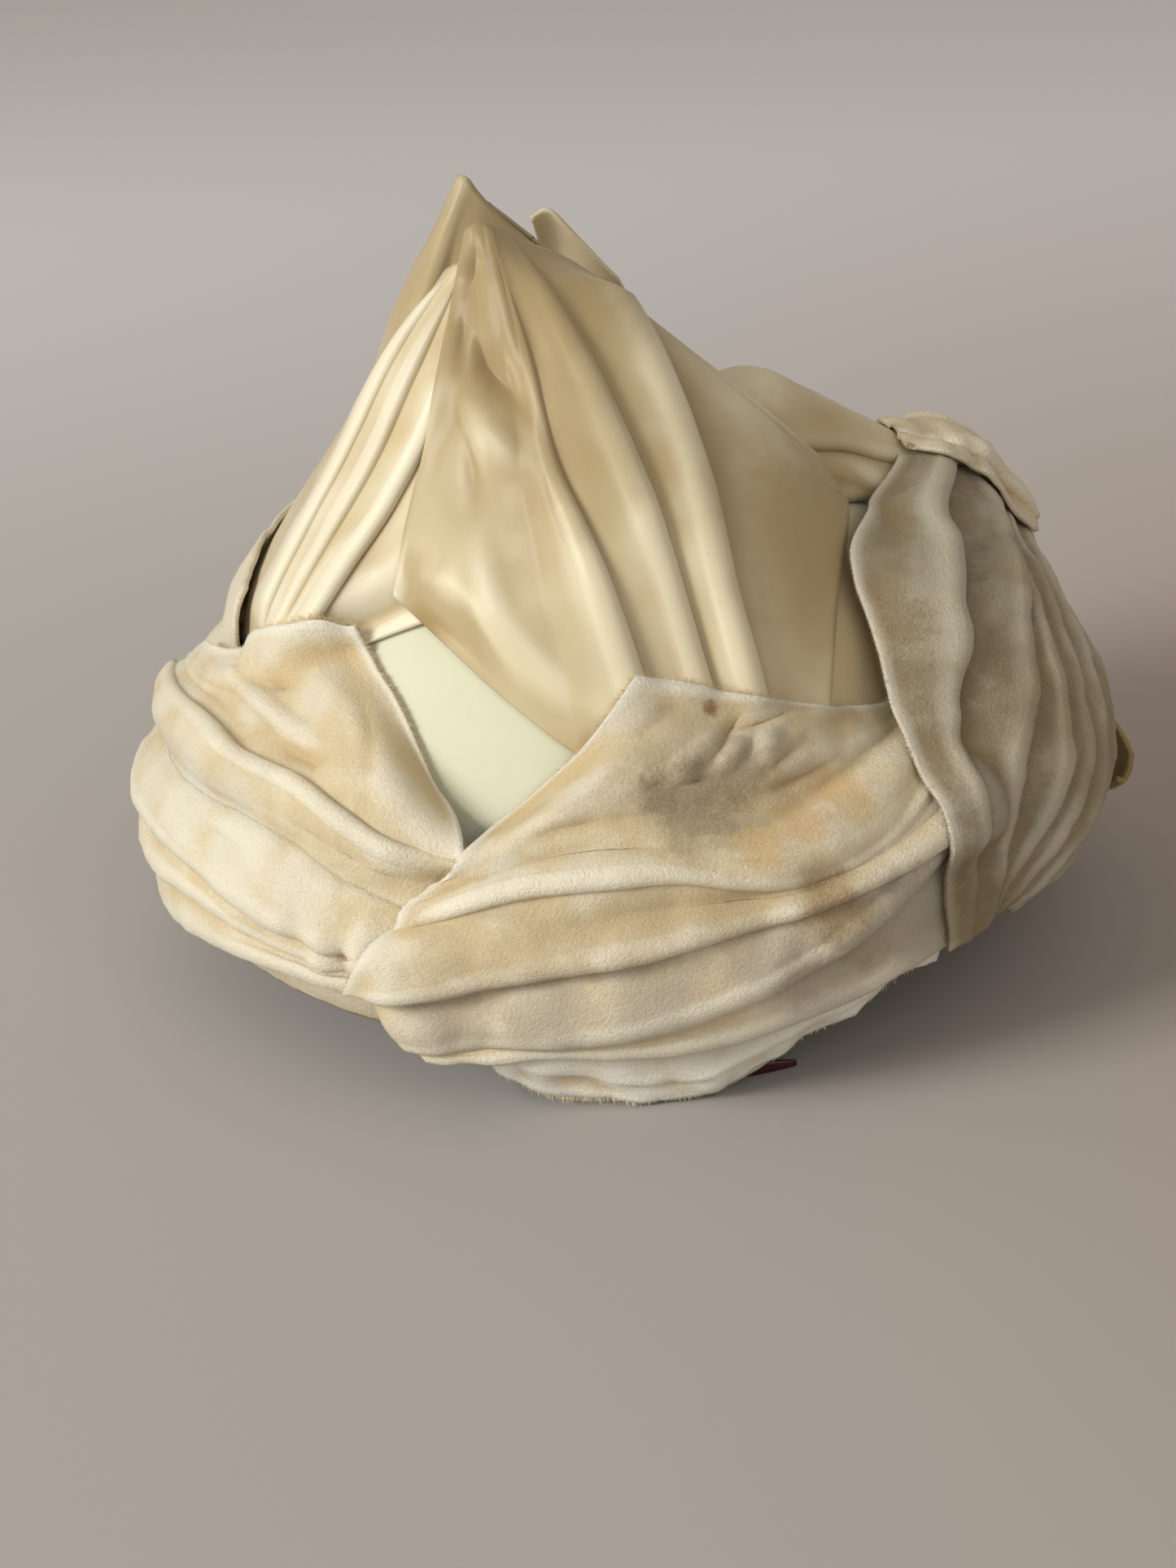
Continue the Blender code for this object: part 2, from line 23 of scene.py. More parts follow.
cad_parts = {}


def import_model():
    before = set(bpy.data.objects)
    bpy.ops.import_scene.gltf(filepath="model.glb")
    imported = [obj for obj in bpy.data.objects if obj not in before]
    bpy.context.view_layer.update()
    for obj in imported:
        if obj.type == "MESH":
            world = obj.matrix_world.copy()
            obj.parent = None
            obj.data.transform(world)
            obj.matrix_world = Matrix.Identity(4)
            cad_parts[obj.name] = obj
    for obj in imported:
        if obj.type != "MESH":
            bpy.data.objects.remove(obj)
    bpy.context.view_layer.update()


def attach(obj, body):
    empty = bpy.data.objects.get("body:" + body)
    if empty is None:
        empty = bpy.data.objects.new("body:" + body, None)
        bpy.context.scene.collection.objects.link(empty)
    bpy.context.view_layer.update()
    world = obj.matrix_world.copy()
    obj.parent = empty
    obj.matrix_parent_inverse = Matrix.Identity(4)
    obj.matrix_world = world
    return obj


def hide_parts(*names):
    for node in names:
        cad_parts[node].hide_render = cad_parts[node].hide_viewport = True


LOG = logging.getLogger("draped_hat")

MM = 0.001
NO_LENGTH = 1e-6
OVERHANG = 0.3
CM_PER_M = 100.0
MM_PER_CM = 10.0
PATCH_RAGGED = 0.45
PATCH_STAND = 1.0
ROOT = "root"

Colour = tuple[float, float, float]
Place = tuple[float, float, float]


class Slot(Enum):
    """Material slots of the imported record."""

    CROWN = "crown_satin"
    PETAL = "petal_satin"
    VELVET = "velvet"
    RIBBON = "ribbon_satin"


class Held(Enum):
    """How a cloth is held on the hat."""

    DRAPED = "draped"
    GATHERED = "gathered"
    FOLDED = "folded"


class Side(Enum):
    """The four sides of a cloth: its first and last fold, and the two ends of its folds."""

    FIRST = "first fold"
    LAST = "last fold"
    START = "start of the folds"
    END = "end of the folds"


class Fold(NamedTuple):
    """One fold line: how far its nose laps over the cloth before it, its way, and its lapped stretch."""

    lap: float
    way: tuple[Place, ...]
    first: float
    last: float


class Dent(NamedTuple):
    """A soft dent or swell in a cloth: where it is, its size, how it leans, and how far it rises."""

    share: float
    fold: float
    long: float
    wide: float
    lean: float
    rise: float


Folds = tuple[Fold, ...]
Dents = tuple[Dent, ...]


def fold(lap: float, *way: Place, first: float = -1.0, last: float = 2.0) -> Fold:
    """A fold line from its lap and the places that it runs through, lapped all along unless said."""
    return Fold(lap, way, first, last)


def dents(*rows: tuple[float, ...]) -> Dents:
    """Dents and swells from rows of their share, fold, length, width, lean and rise."""
    return tuple(Dent(*row) for row in rows)


class Turn(NamedTuple):
    """One row of the roll at a fold's nose, as shares of the lap: its shift over the cloth and height."""

    shift: float
    height: float


# The rows of a fold's nose, from its hidden foot up to its crest.
ROLL = (
    Turn(0.90, 0.04),
    Turn(1.12, 0.20),
    Turn(0.85, 0.36),
    Turn(0.00, 0.38),
    Turn(-0.36, 0.46),
    Turn(-0.54, 0.68),
    Turn(-0.42, 0.90),
    Turn(-0.08, 1.02),
    Turn(0.42, 1.00),
)
ROLL_HIDDEN_ROWS = 3
PANEL_SHARES = (0.20, 0.32, 0.44, 0.56, 0.68, 0.79, 0.88, 0.95)
SMOOTH_SHARES = (0.0, 0.14, 0.28, 0.42, 0.56, 0.70, 0.85)


def blend_in(value: np.ndarray | float) -> np.ndarray:
    """Ease a share from 0 to 1 with a level start and end."""
    value = np.clip(value, 0.0, 1.0)
    return value * value * (3.0 - 2.0 * value)


def around(turn: np.ndarray | float) -> np.ndarray:
    """Bring an angle into the range from -180 to 180 degrees."""
    return (np.asarray(turn, float) + 180.0) % 360.0 - 180.0


def unit(ways: np.ndarray) -> np.ndarray:
    """Bring directions to a length of one."""
    return ways / np.maximum(np.linalg.norm(ways, axis=-1, keepdims=True), NO_LENGTH)


def curve_between(padded: tuple[np.ndarray, ...], part: np.ndarray) -> np.ndarray:
    """Read a smooth curve between the two middle ones of four points.

    Args:
        padded: The four points, or four arrays of points.
        part: How far the place lies between the two middle ones, from 0 to 1.

    Returns:
        The place on the curve.
    """
    p0, p1, p2, p3 = padded
    bend = 2.0 * p0 - 5.0 * p1 + 4.0 * p2 - p3
    twist = 3.0 * p1 - p0 - 3.0 * p2 + p3
    return 0.5 * (2.0 * p1 + (p2 - p0) * part + bend * part**2 + twist * part**3)


def run_on(points: np.ndarray) -> np.ndarray:
    """Add one point before the first and one after the last, in line with their neighbours."""
    before = 2.0 * points[:1] - points[1:2]
    after = 2.0 * points[-1:] - points[-2:-1]
    return np.concatenate([before, points, after])


def along_way(way: tuple[Place, ...], shares: np.ndarray) -> np.ndarray:
    """Places on the smooth curve through a fold's way.

    Args:
        way: The points that the fold runs through.
        shares: How far along the way each place lies, from 0 to 1.

    Returns:
        One place for each share.
    """
    points = np.asarray(way, float)
    last = len(points) - 1
    places = np.clip(shares, 0.0, 1.0) * last
    index = np.minimum(places.astype(int), last - 1)
    padded = run_on(points)
    return curve_between(tuple(padded[index + step] for step in range(4)), (places - index)[:, None])


def across_folds(lines: np.ndarray, places: np.ndarray) -> np.ndarray:
    """Places on the smooth surface through fold lines.

    Args:
        lines: The fold lines, as folds by stations by coordinates.
        places: For each row and station, the place among the folds.

    Returns:
        Rows by stations by coordinates.
    """
    last = len(lines) - 1
    places = np.clip(places, -OVERHANG, last + OVERHANG)
    index = np.clip(np.floor(places).astype(int), 0, last - 1)
    column = np.arange(lines.shape[1])[None, :]
    padded = run_on(lines)
    four = tuple(padded[index + step, column] for step in range(4))
    return curve_between(four, (places - index)[..., None])


def run_lengths(points: np.ndarray) -> np.ndarray:
    """How far each place of a grid lies along its row."""
    steps = np.linalg.norm(np.diff(points, axis=1), axis=-1)
    return np.concatenate([np.zeros((len(points), 1)), np.cumsum(steps, axis=1)], axis=1)


def cloth_area(points: np.ndarray) -> float:
    """Area of a grid of places."""
    over = points[1:, 1:] - points[:-1, :-1]
    back = points[1:, :-1] - points[:-1, 1:]
    return float(np.linalg.norm(np.cross(over, back), axis=-1).sum() * 0.5)


def soften(grid: np.ndarray, passes: int = 1) -> np.ndarray:
    """Average a grid of values or directions with its neighbours."""
    edge = [(1, 1), (1, 1)] + [(0, 0)] * (grid.ndim - 2)
    for _ in range(passes):
        wide = np.pad(grid, edge, mode="edge")
        wide = (wide[:-2] + 2.0 * wide[1:-1] + wide[2:]) / 4.0
        grid = (wide[:, :-2] + 2.0 * wide[:, 1:-1] + wide[:, 2:]) / 4.0
    return grid


def spread(grid: np.ndarray, passes: int = 1) -> np.ndarray:
    """Give each value of a grid the highest one among its neighbours."""
    for _ in range(passes):
        wide = np.pad(grid, 1, mode="edge")
        wide = np.maximum(np.maximum(wide[:-2], wide[1:-1]), wide[2:])
        grid = np.maximum(np.maximum(wide[:, :-2], wide[:, 1:-1]), wide[:, 2:])
    return grid


def lay_flat(work: bmesh.types.BMesh, place: Callable[[bmesh.types.BMVert], tuple[float, float]]) -> None:
    """Give a bmesh its flat map, from the flat place of each corner."""
    flat = work.loops.layers.uv.new("UVMap")
    for face in work.faces:
        for loop in face.loops:
            loop[flat].uv = place(loop.vert)


def thicken(piece: bpy.types.Object, wall: float, offset: float) -> None:
    """Give a piece its wall: outwards at an offset of 1, inwards at -1."""
    shell = piece.modifiers.new("Wall", "SOLIDIFY")
    shell.thickness = wall * MM
    shell.offset = offset


@dataclass(frozen=True)
class Girth:
    """How far the puffed velvet stands from the axis at a height, at the front and the full right side."""

    rise: float
    front: float
    right: float


@dataclass(frozen=True)
class HatForm:
    """The head opening, the crown over it, and the puffed form that the velvet follows."""

    half_width: float = 88.0
    half_depth: float = 84.0
    crown_height: float = 112.0
    skirt: float = 8.0
    squareness: float = 2.5
    rim_arch: float = 16.0
    rim_flat_front: float = 7.0
    rim_full_arch: float = 34.0
    rim_arch_end: float = 100.0
    rim_flat_back: float = 146.0
    depth_share: float = 0.955
    full_side_turn: float = 88.0
    full_side_reach: float = 52.0
    full_side_blend: float = 30.0
    middle: Place = (-8.0, 5.0, 55.0)
    girths: tuple[Girth, ...] = (
        Girth(0, 89, 88),
        Girth(12, 95, 95),
        Girth(25, 100, 101),
        Girth(40, 102, 105),
        Girth(55, 98, 104),
        Girth(68, 90, 98),
        Girth(80, 78, 89),
        Girth(92, 64, 77),
        Girth(104, 46, 53),
    )

    def rim_rise(self, turn: float) -> float:
        """Height of the crown's rim above the floor, at a turn from the front."""
        side = abs(float(around(turn)))
        up = blend_in((side - self.rim_flat_front) / (self.rim_full_arch - self.rim_flat_front))
        down = blend_in((self.rim_flat_back - side) / (self.rim_flat_back - self.rim_arch_end))
        return self.rim_arch * float(min(up, down))

    def narrowing(self, rise: float) -> float:
        """Share of the opening's width that the crown still has at a height."""
        share = max(0.0, rise - self.skirt) / (self.crown_height - self.skirt)
        return (1.0 - min(1.0, share) ** self.squareness) ** (1.0 / self.squareness)

    def reach(self, turn: np.ndarray, rise: np.ndarray) -> np.ndarray:
        """Distance of the puffed velvet from the axis at turns and heights."""
        rises = [girth.rise for girth in self.girths]
        front = np.interp(rise, rises, [girth.front for girth in self.girths])
        right = np.interp(rise, rises, [girth.right for girth in self.girths])
        away = np.abs(around(turn - self.full_side_turn))
        share = blend_in((self.full_side_reach - away) / self.full_side_blend)
        angle = np.radians(turn)
        oval = np.sqrt(np.sin(angle) ** 2 + (np.cos(angle) / self.depth_share) ** 2)
        return (front + (right - front) * share) / oval

    def on_velvet(self, stations: np.ndarray) -> np.ndarray:
        """Places of velvet stations, given as turn, rise and stand off the puffed form."""
        turn, rise, stand = np.moveaxis(stations, -1, 0)
        reach = self.reach(turn, rise) + stand
        angle = np.radians(turn)
        return np.stack([reach * np.sin(angle), -reach * np.cos(angle), rise], axis=-1)


FORM = HatForm()


def maths(operation: str, reflected: bool = False) -> Callable[[Shade, Shade | float], Shade]:
    """Make the method of a Python operator.

    Args:
        operation: The operation of the Math node.
        reflected: Whether the shade stands after the operator.

    Returns:
        A method that adds the Math node.
    """

    def method(self: Shade, other: Shade | float) -> Shade:
        """Add one Math node."""
        first, second = (other, self) if reflected else (self, other)
        return self.nodes.make("ShaderNodeMath", {"operation": operation}, {0: first, 1: second})

    return method


class Shade:
    """A socket of a node tree that takes part in Python expressions."""

    __add__ = maths("ADD")
    __radd__ = maths("ADD", reflected=True)
    __sub__ = maths("SUBTRACT")
    __rsub__ = maths("SUBTRACT", reflected=True)
    __mul__ = maths("MULTIPLY")
    __rmul__ = maths("MULTIPLY", reflected=True)
    __truediv__ = maths("DIVIDE")
    __rtruediv__ = maths("DIVIDE", reflected=True)
    at_least = maths("MAXIMUM")

    def __init__(self, nodes: NodeBench, socket: bpy.types.NodeSocket) -> None:
        """Wrap an output socket."""
        self.nodes = nodes
        self.socket = socket

    def between(self, low: float, high: float) -> Shade:
        """Ease from 0 at the low value to 1 at the high one."""
        settings = {"interpolation_type": "SMOOTHSTEP", "clamp": True}
        values = {"Value": self, "From Min": low, "From Max": high, "To Min": 0.0, "To Max": 1.0}
        return self.nodes.make("ShaderNodeMapRange", settings, values)


class Blot(NamedTuple):
    """A round patch of colour, used for stains and specks and for painted shade and painted sheen: its middle
    and reach in millimetres, its colour, and how strong it is.

    Noise frays its edge by the ragged share of its reach.
    """

    place: Place
    reach: float
    colour: Colour
    strength: float
    ragged: float = 0.4


class NodeBench:
    """The node tree of one material, with a method that adds any node."""

    blot_core = 0.35
    fray_scale = 2.2

    def __init__(self, material: bpy.types.Material) -> None:
        """Start from the material's own shader."""
        self.tree = material.node_tree
        self.shader = self.tree.nodes["Principled BSDF"]

    def make(
        self, kind: str, settings: dict[str, object], values: dict[str | int, object], output: str | int = 0
    ) -> Shade:
        """Add a node.

        Args:
            kind: The node's type.
            settings: Settings that are made first, such as an operation.
            values: Values or links of its sockets, by name or number.
            output: The output socket that is read.

        Returns:
            The node's output.
        """
        node = self.tree.nodes.new(kind)
        for name, setting in settings.items():
            setattr(node, name, setting)
        for name, value in values.items():
            self.plug(node.inputs[name], value)
        return Shade(self, node.outputs[output])

    def plug(self, socket: bpy.types.NodeSocket, value: object) -> None:
        """Link a socket or set its value."""
        if isinstance(value, Shade):
            self.tree.links.new(value.socket, socket)
        elif isinstance(value, tuple) and len(socket.default_value) == 4:
            socket.default_value = (*value, 1.0)[:4]
        else:
            socket.default_value = value

    def set(self, **values: object) -> None:
        """Set sockets of the shader, with a space in a name written as an underscore."""
        for name, value in values.items():
            self.plug(self.shader.inputs[name.replace("_", " ")], value)

    def mix(self, share: Shade | float, first: Shade | Colour, second: Shade | Colour) -> Shade:
        """Mix two colours."""
        settings = {"data_type": "RGBA"}
        return self.make("ShaderNodeMix", settings, {0: share, 6: first, 7: second}, 2)

    def place(self) -> Shade:
        """The place on the object, in metres."""
        return self.make("ShaderNodeTexCoord", {}, {}, "Object")

    def cloth(self) -> Shade:
        """The place on the flat cloth, in centimetres."""
        return self.make("ShaderNodeTexCoord", {}, {}, "UV")

    def attribute(self, name: str) -> Shade:
        """A number kept on the mesh."""
        return self.make("ShaderNodeAttribute", {"attribute_name": name}, {}, "Fac")

    def stretched(self, vector: Shade, scale: Place, turn: float = 0.0) -> Shade:
        """A coordinate that is scaled, and turned about its third axis."""
        values = {"Vector": vector, "Scale": scale, "Rotation": (0.0, 0.0, math.radians(turn))}
        return self.make("ShaderNodeMapping", {"vector_type": "POINT"}, values)

    def noise(
        self, vector: Shade, scale: float, detail: float, roughness: float, distortion: float = 0.0
    ) -> Shade:
        """A cloudy pattern from 0 to 1."""
        values = {"Vector": vector, "Scale": scale, "Detail": detail, "Roughness": roughness}
        return self.make("ShaderNodeTexNoise", {}, {**values, "Distortion": distortion}, 0)

    def clouds(self, size: float, detail: float, roughness: float, distortion: float = 0.0) -> Shade:
        """A cloudy pattern over the hat, with clouds of a size in millimetres."""
        return self.noise(self.place(), 1.0 / (size * MM), detail, roughness, distortion)

    def stripes(self, vector: Shade, scale: float) -> Shade:
        """Even stripes across the first axis."""
        values = {"Vector": vector, "Scale": scale, "Distortion": 0.0, "Detail": 1.0}
        return self.make("ShaderNodeTexWave", {"bands_direction": "X"}, values, 1)

    def near(self, blot: Blot) -> Shade:
        """How near a place lies to a blot: 1 in its middle, falling to 0 at its reach."""
        values = {0: self.place(), 1: tuple(value * MM for value in blot.place)}
        distance = self.make("ShaderNodeVectorMath", {"operation": "DISTANCE"}, values, 1)
        share = distance / (blot.reach * MM)
        fray = self.noise(self.place(), self.fray_scale / (blot.reach * MM), 4.0, 0.6) - 0.5
        share = share + fray * (2.0 * blot.ragged)
        return 1.0 - share.between(self.blot_core, 1.0)

    def blotted(self, colour: Shade, blots: tuple[Blot, ...]) -> Shade:
        """A colour with blots over it."""
        for blot in blots:
            colour = self.mix(self.near(blot) * blot.strength, colour, blot.colour)
        return colour

    def bump(self, height: Shade, distance: float, strength: float, normal: Shade | None = None) -> Shade:
        """A normal bent by a height.

        Args:
            height: The height, from 0 to 1.
            distance: The height's reach in millimetres.
            strength: How much of it counts.
            normal: The normal that is bent, or the surface's own.

        Returns:
            The bent normal.
        """
        values: dict[str | int, object] = {"Height": height, "Distance": distance * MM, "Strength": strength}
        if normal is not None:
            values["Normal"] = normal
        return self.make("ShaderNodeBump", {}, values)


@dataclass(frozen=True)
class Finish:
    """A finish that dresses a new material."""

    name: str

    def bench(self) -> tuple[bpy.types.Material, NodeBench]:
        """Start a material."""
        material = bpy.data.materials.new(self.name)
        material.use_nodes = True
        return material, NodeBench(material)


@dataclass(frozen=True)
class SatinFinish(Finish):
    """Dull-backed satin with a fine twill and a little soiling, with painted shade and painted highlights."""

    # The shade colour paints shade in low places and also tints random clouds; the darkest colour paints
    # shade in hollows and creases, and the pale one paints a highlight on raised parts; soil is dirt.
    colour: Colour = (0.72, 0.63, 0.43)
    shade: Colour = (0.50, 0.36, 0.15)
    hollow_shade: Colour = (0.22, 0.115, 0.03)
    pale: Colour = (0.87, 0.82, 0.65)
    soil: Colour = (0.42, 0.31, 0.17)
    sheen_tint: Colour = (1.0, 0.96, 0.86)
    depth: float = 0.5
    roughness: float = 0.34
    weave: float = 0.42
    weave_turn: float = 38.0
    slub_scale: float = 30.0
    sheen: float = 0.25
    cloud_size: float = 35.0
    grime_size: float = 18.0
    speck_size: float = 2.1
    ripple_size: float = 6.0
    blots: tuple[Blot, ...] = ()

    def dress(self) -> bpy.types.Material:
        """Make the material."""
        material, bench = self.bench()
        clouds = bench.clouds(self.cloud_size, 3.0, 0.55)
        colour = bench.mix(clouds.between(0.35, 0.7) * 0.6, self.colour, self.shade)
        relief = bench.attribute("relief")
        # Painted shade in low places and a painted highlight on raised parts, from the relief.
        colour = bench.mix(1.0 - relief.between(0.10, 0.48), colour, self.shade)
        colour = bench.mix((1.0 - relief.between(0.0, 0.22)) * self.depth, colour, self.hollow_shade)
        colour = bench.mix(relief.between(0.50, 0.85) * 0.8, colour, self.pale)
        # Painted shade in the creases under the fold noses.
        colour = bench.mix(bench.attribute("crease") * 0.7, colour, self.hollow_shade)
        grime = bench.clouds(self.grime_size, 5.0, 0.7, 0.6).between(0.60, 0.82)
        colour = bench.mix(grime * 0.22, colour, self.soil)
        specks = bench.clouds(self.speck_size, 1.0, 0.5).between(0.80, 0.86)
        # The blots paint shade over hollows and shaded parts.
        colour = bench.blotted(bench.mix(specks * 0.55, colour, self.soil), self.blots)
        turned = bench.stretched(bench.cloth(), (1.0, 1.0, 1.0), self.weave_turn)
        twill = bench.stripes(turned, 0.5 * MM_PER_CM / self.weave)
        slub = bench.noise(bench.cloth(), self.slub_scale, 2.0, 0.6)
        normal = bench.bump(twill * 0.7 + slub * 0.3, 0.12, 0.35)
        normal = bench.bump(bench.clouds(self.ripple_size, 2.0, 0.5), 0.35, 0.25, normal)
        bench.set(
            Base_Color=colour,
            Roughness=self.roughness + (twill - 0.5) * 0.10,
            Specular_IOR_Level=0.45,
            Sheen_Weight=self.sheen,
            Sheen_Roughness=0.4,
            Sheen_Tint=self.sheen_tint,
            Normal=normal,
        )
        return material


@dataclass(frozen=True)
class VelvetFinish(Finish):
    """Crushed cream velvet, painted pale where the pile catches the light and tan where it lies away from it.
    """

    # The white and fold colours paint highlights on raised parts, ridges and streaks and the rim colour on
    # cut edges; the darkest colour paints shade in creases, and the tan paints shade low down as well as the
    # pile's own texture.
    cream: Colour = (0.71, 0.585, 0.36)
    white: Colour = (0.87, 0.84, 0.72)
    tan: Colour = (0.64, 0.48, 0.26)
    fold: Colour = (0.84, 0.80, 0.66)
    hollow_shade: Colour = (0.55, 0.30, 0.09)
    rim: Colour = (0.92, 0.90, 0.81)
    sheen_tint: Colour = (1.0, 0.95, 0.84)
    nap: float = 11.0
    lying_share: float = 1.7
    pile_size: float = 0.7
    fibre_scale: float = 7.0
    streak_scale: float = 16.0
    streak_turn: float = 55.0
    brushed_scale: float = 14.0
    whiteness: float = 0.6
    tanning: float = 0.7
    sheen: float = 0.35
    blots: tuple[Blot, ...] = ()

    def dress(self) -> bpy.types.Material:
        """Make the material."""
        material, bench = self.bench()
        nap = bench.clouds(self.nap, 3.0, 0.6, 0.5)
        fibre = bench.noise(bench.stretched(bench.cloth(), (1.0, 3.0, 1.0)), self.fibre_scale, 3.0, 0.65)
        relief = bench.attribute("relief")
        # White on raised parts, from the relief, as a painted highlight, and in random patches of the crushed
        # pile.
        lit = (nap * 0.30 + fibre * 0.30 + relief * 0.40).between(0.46, 0.66)
        colour = bench.mix(lit * self.whiteness, self.cream, self.white)
        # Painted shade: tan in low places, from the relief, and in random patches where the pile lies away.
        pile_lie_and_hollow_shade = bench.clouds(self.nap * self.lying_share, 4.0, 0.6, 0.8) * 0.4 + (1.0 - relief) * 0.6
        colour = bench.mix(pile_lie_and_hollow_shade.between(0.45, 0.72) * self.tanning, colour, self.tan)
        # Painted highlight along the fold ridges.
        colour = bench.mix(bench.attribute("ridge") * 0.6, colour, self.fold)
        # Pale cut edges: the frayed pile, with a painted highlight.
        colour = bench.mix(bench.attribute("edge") * 0.85, colour, self.rim)
        # Painted shade in the creases.
        colour = bench.mix(bench.attribute("crease") * 0.7, colour, self.hollow_shade)
        # The blots hold real stains and specks, painted sheen and painted shade.
        colour = bench.blotted(colour, self.blots)
        leaning = bench.stretched(bench.cloth(), (1.0, 3.5, 1.0), self.streak_turn)
        streaks = bench.noise(leaning, self.streak_scale, 3.0, 0.7)
        # Pale streaks of brushed pile, partly painted glints.
        colour = bench.mix(streaks.between(0.52, 0.68) * 0.46, colour, self.fold)
        pile = bench.clouds(self.pile_size, 2.0, 0.6)
        colour = bench.mix((pile - 0.5).at_least(0.0) * 0.5, colour, self.tan)
        brushed = bench.noise(bench.stretched(bench.cloth(), (1.0, 2.2, 1.0)), self.brushed_scale, 3.0, 0.7)
        normal = bench.bump(brushed, 0.5, 0.45)
        normal = bench.bump(streaks, 0.42, 0.5, normal)
        normal = bench.bump(pile, 0.40, 0.6, normal)
        bench.set(
            Base_Color=colour,
            Roughness=0.62 - lit * 0.14,
            Specular_IOR_Level=0.35,
            Sheen_Weight=self.sheen,
            Sheen_Roughness=0.32,
            Sheen_Tint=self.sheen_tint,
            Normal=normal,
        )
        return material


@dataclass(frozen=True)
class RibbonFinish(Finish):
    """Glossy dark wine-red ribbon with a fine rib."""

    colour: Colour = (0.055, 0.004, 0.012)
    light: Colour = (0.16, 0.02, 0.03)
    worn_size: float = 4.0
    ribs: float = 12.0

    def dress(self) -> bpy.types.Material:
        """Make the material."""
        material, bench = self.bench()
        rib = bench.stripes(bench.cloth(), self.ribs)
        worn = bench.clouds(self.worn_size, 3.0, 0.6).between(0.45, 0.75)
        bench.set(
            Base_Color=bench.mix(worn * 0.6, self.colour, self.light),
            Roughness=0.30 + worn * 0.2,
            Specular_IOR_Level=0.6,
            Normal=bench.bump(rib, 0.06, 0.4),
        )
        return material


@dataclass(frozen=True)
class FloorFinish(Finish):
    """Plain pale paper with painted shade, darker to the front and right of the hat; the ranges are in
    metres.
    """

    near: Colour = (0.43, 0.41, 0.40)
    far: Colour = (0.76, 0.755, 0.79)
    right: Colour = (0.42, 0.345, 0.305)
    far_range: tuple[float, float] = (-0.15, 1.1)
    right_range: tuple[float, float] = (-0.02, 0.20)
    grain_size: float = 1.5

    def dress(self) -> bpy.types.Material:
        """Make the material."""
        material, bench = self.bench()
        grain = bench.clouds(self.grain_size, 3.0, 0.6)
        across, away = (
            bench.make("ShaderNodeSeparateXYZ", {}, {0: bench.place()}, axis).between(*limits)
            for axis, limits in enumerate((self.right_range, self.far_range))
        )
        # Painted shade: darker towards the front and the right.
        colour = bench.mix(away, bench.mix(across, self.near, self.right), self.far)
        bench.set(Base_Color=colour, Roughness=0.9, Normal=bench.bump(grain, 0.05, 0.2))
        return material


@dataclass(frozen=True)
class ClothKind:
    """A kind of cloth: its wall, how much it crumples, and its finish."""

    wall: float
    crumple: float
    crumple_length: float
    slot: Slot
    finish: Finish
    lap_room: float = 1.5
    settle_passes: int = 4
    pile: float = 0.0
    loft: float = 1.0


@dataclass(frozen=True)
class Cut:
    """What a cloth was cut to before it was folded: its flat size, and its area where not a rectangle."""

    width: float
    length: float
    area: float | None = None


@dataclass(frozen=True)
class Sheet:
    """One piece of cloth with folds, laid over what is under it."""

    name: str
    folds: Folds
    kind: ClothKind
    cut: Cut
    held: Held
    rests_on: str
    on_velvet: bool = False
    dents: Dents = ()
    cut_sides: tuple[Side, ...] = ()
    laid_sides: tuple[Side, ...] = ()
    flat_ends: tuple[Side, ...] = ()
    stations: int = 72
    seed: float = 0.0
    loose: bool = False
    replaced: str | None = None

    @property
    def node(self) -> str:
        """The node that this cloth replaces."""
        return self.replaced or self.name


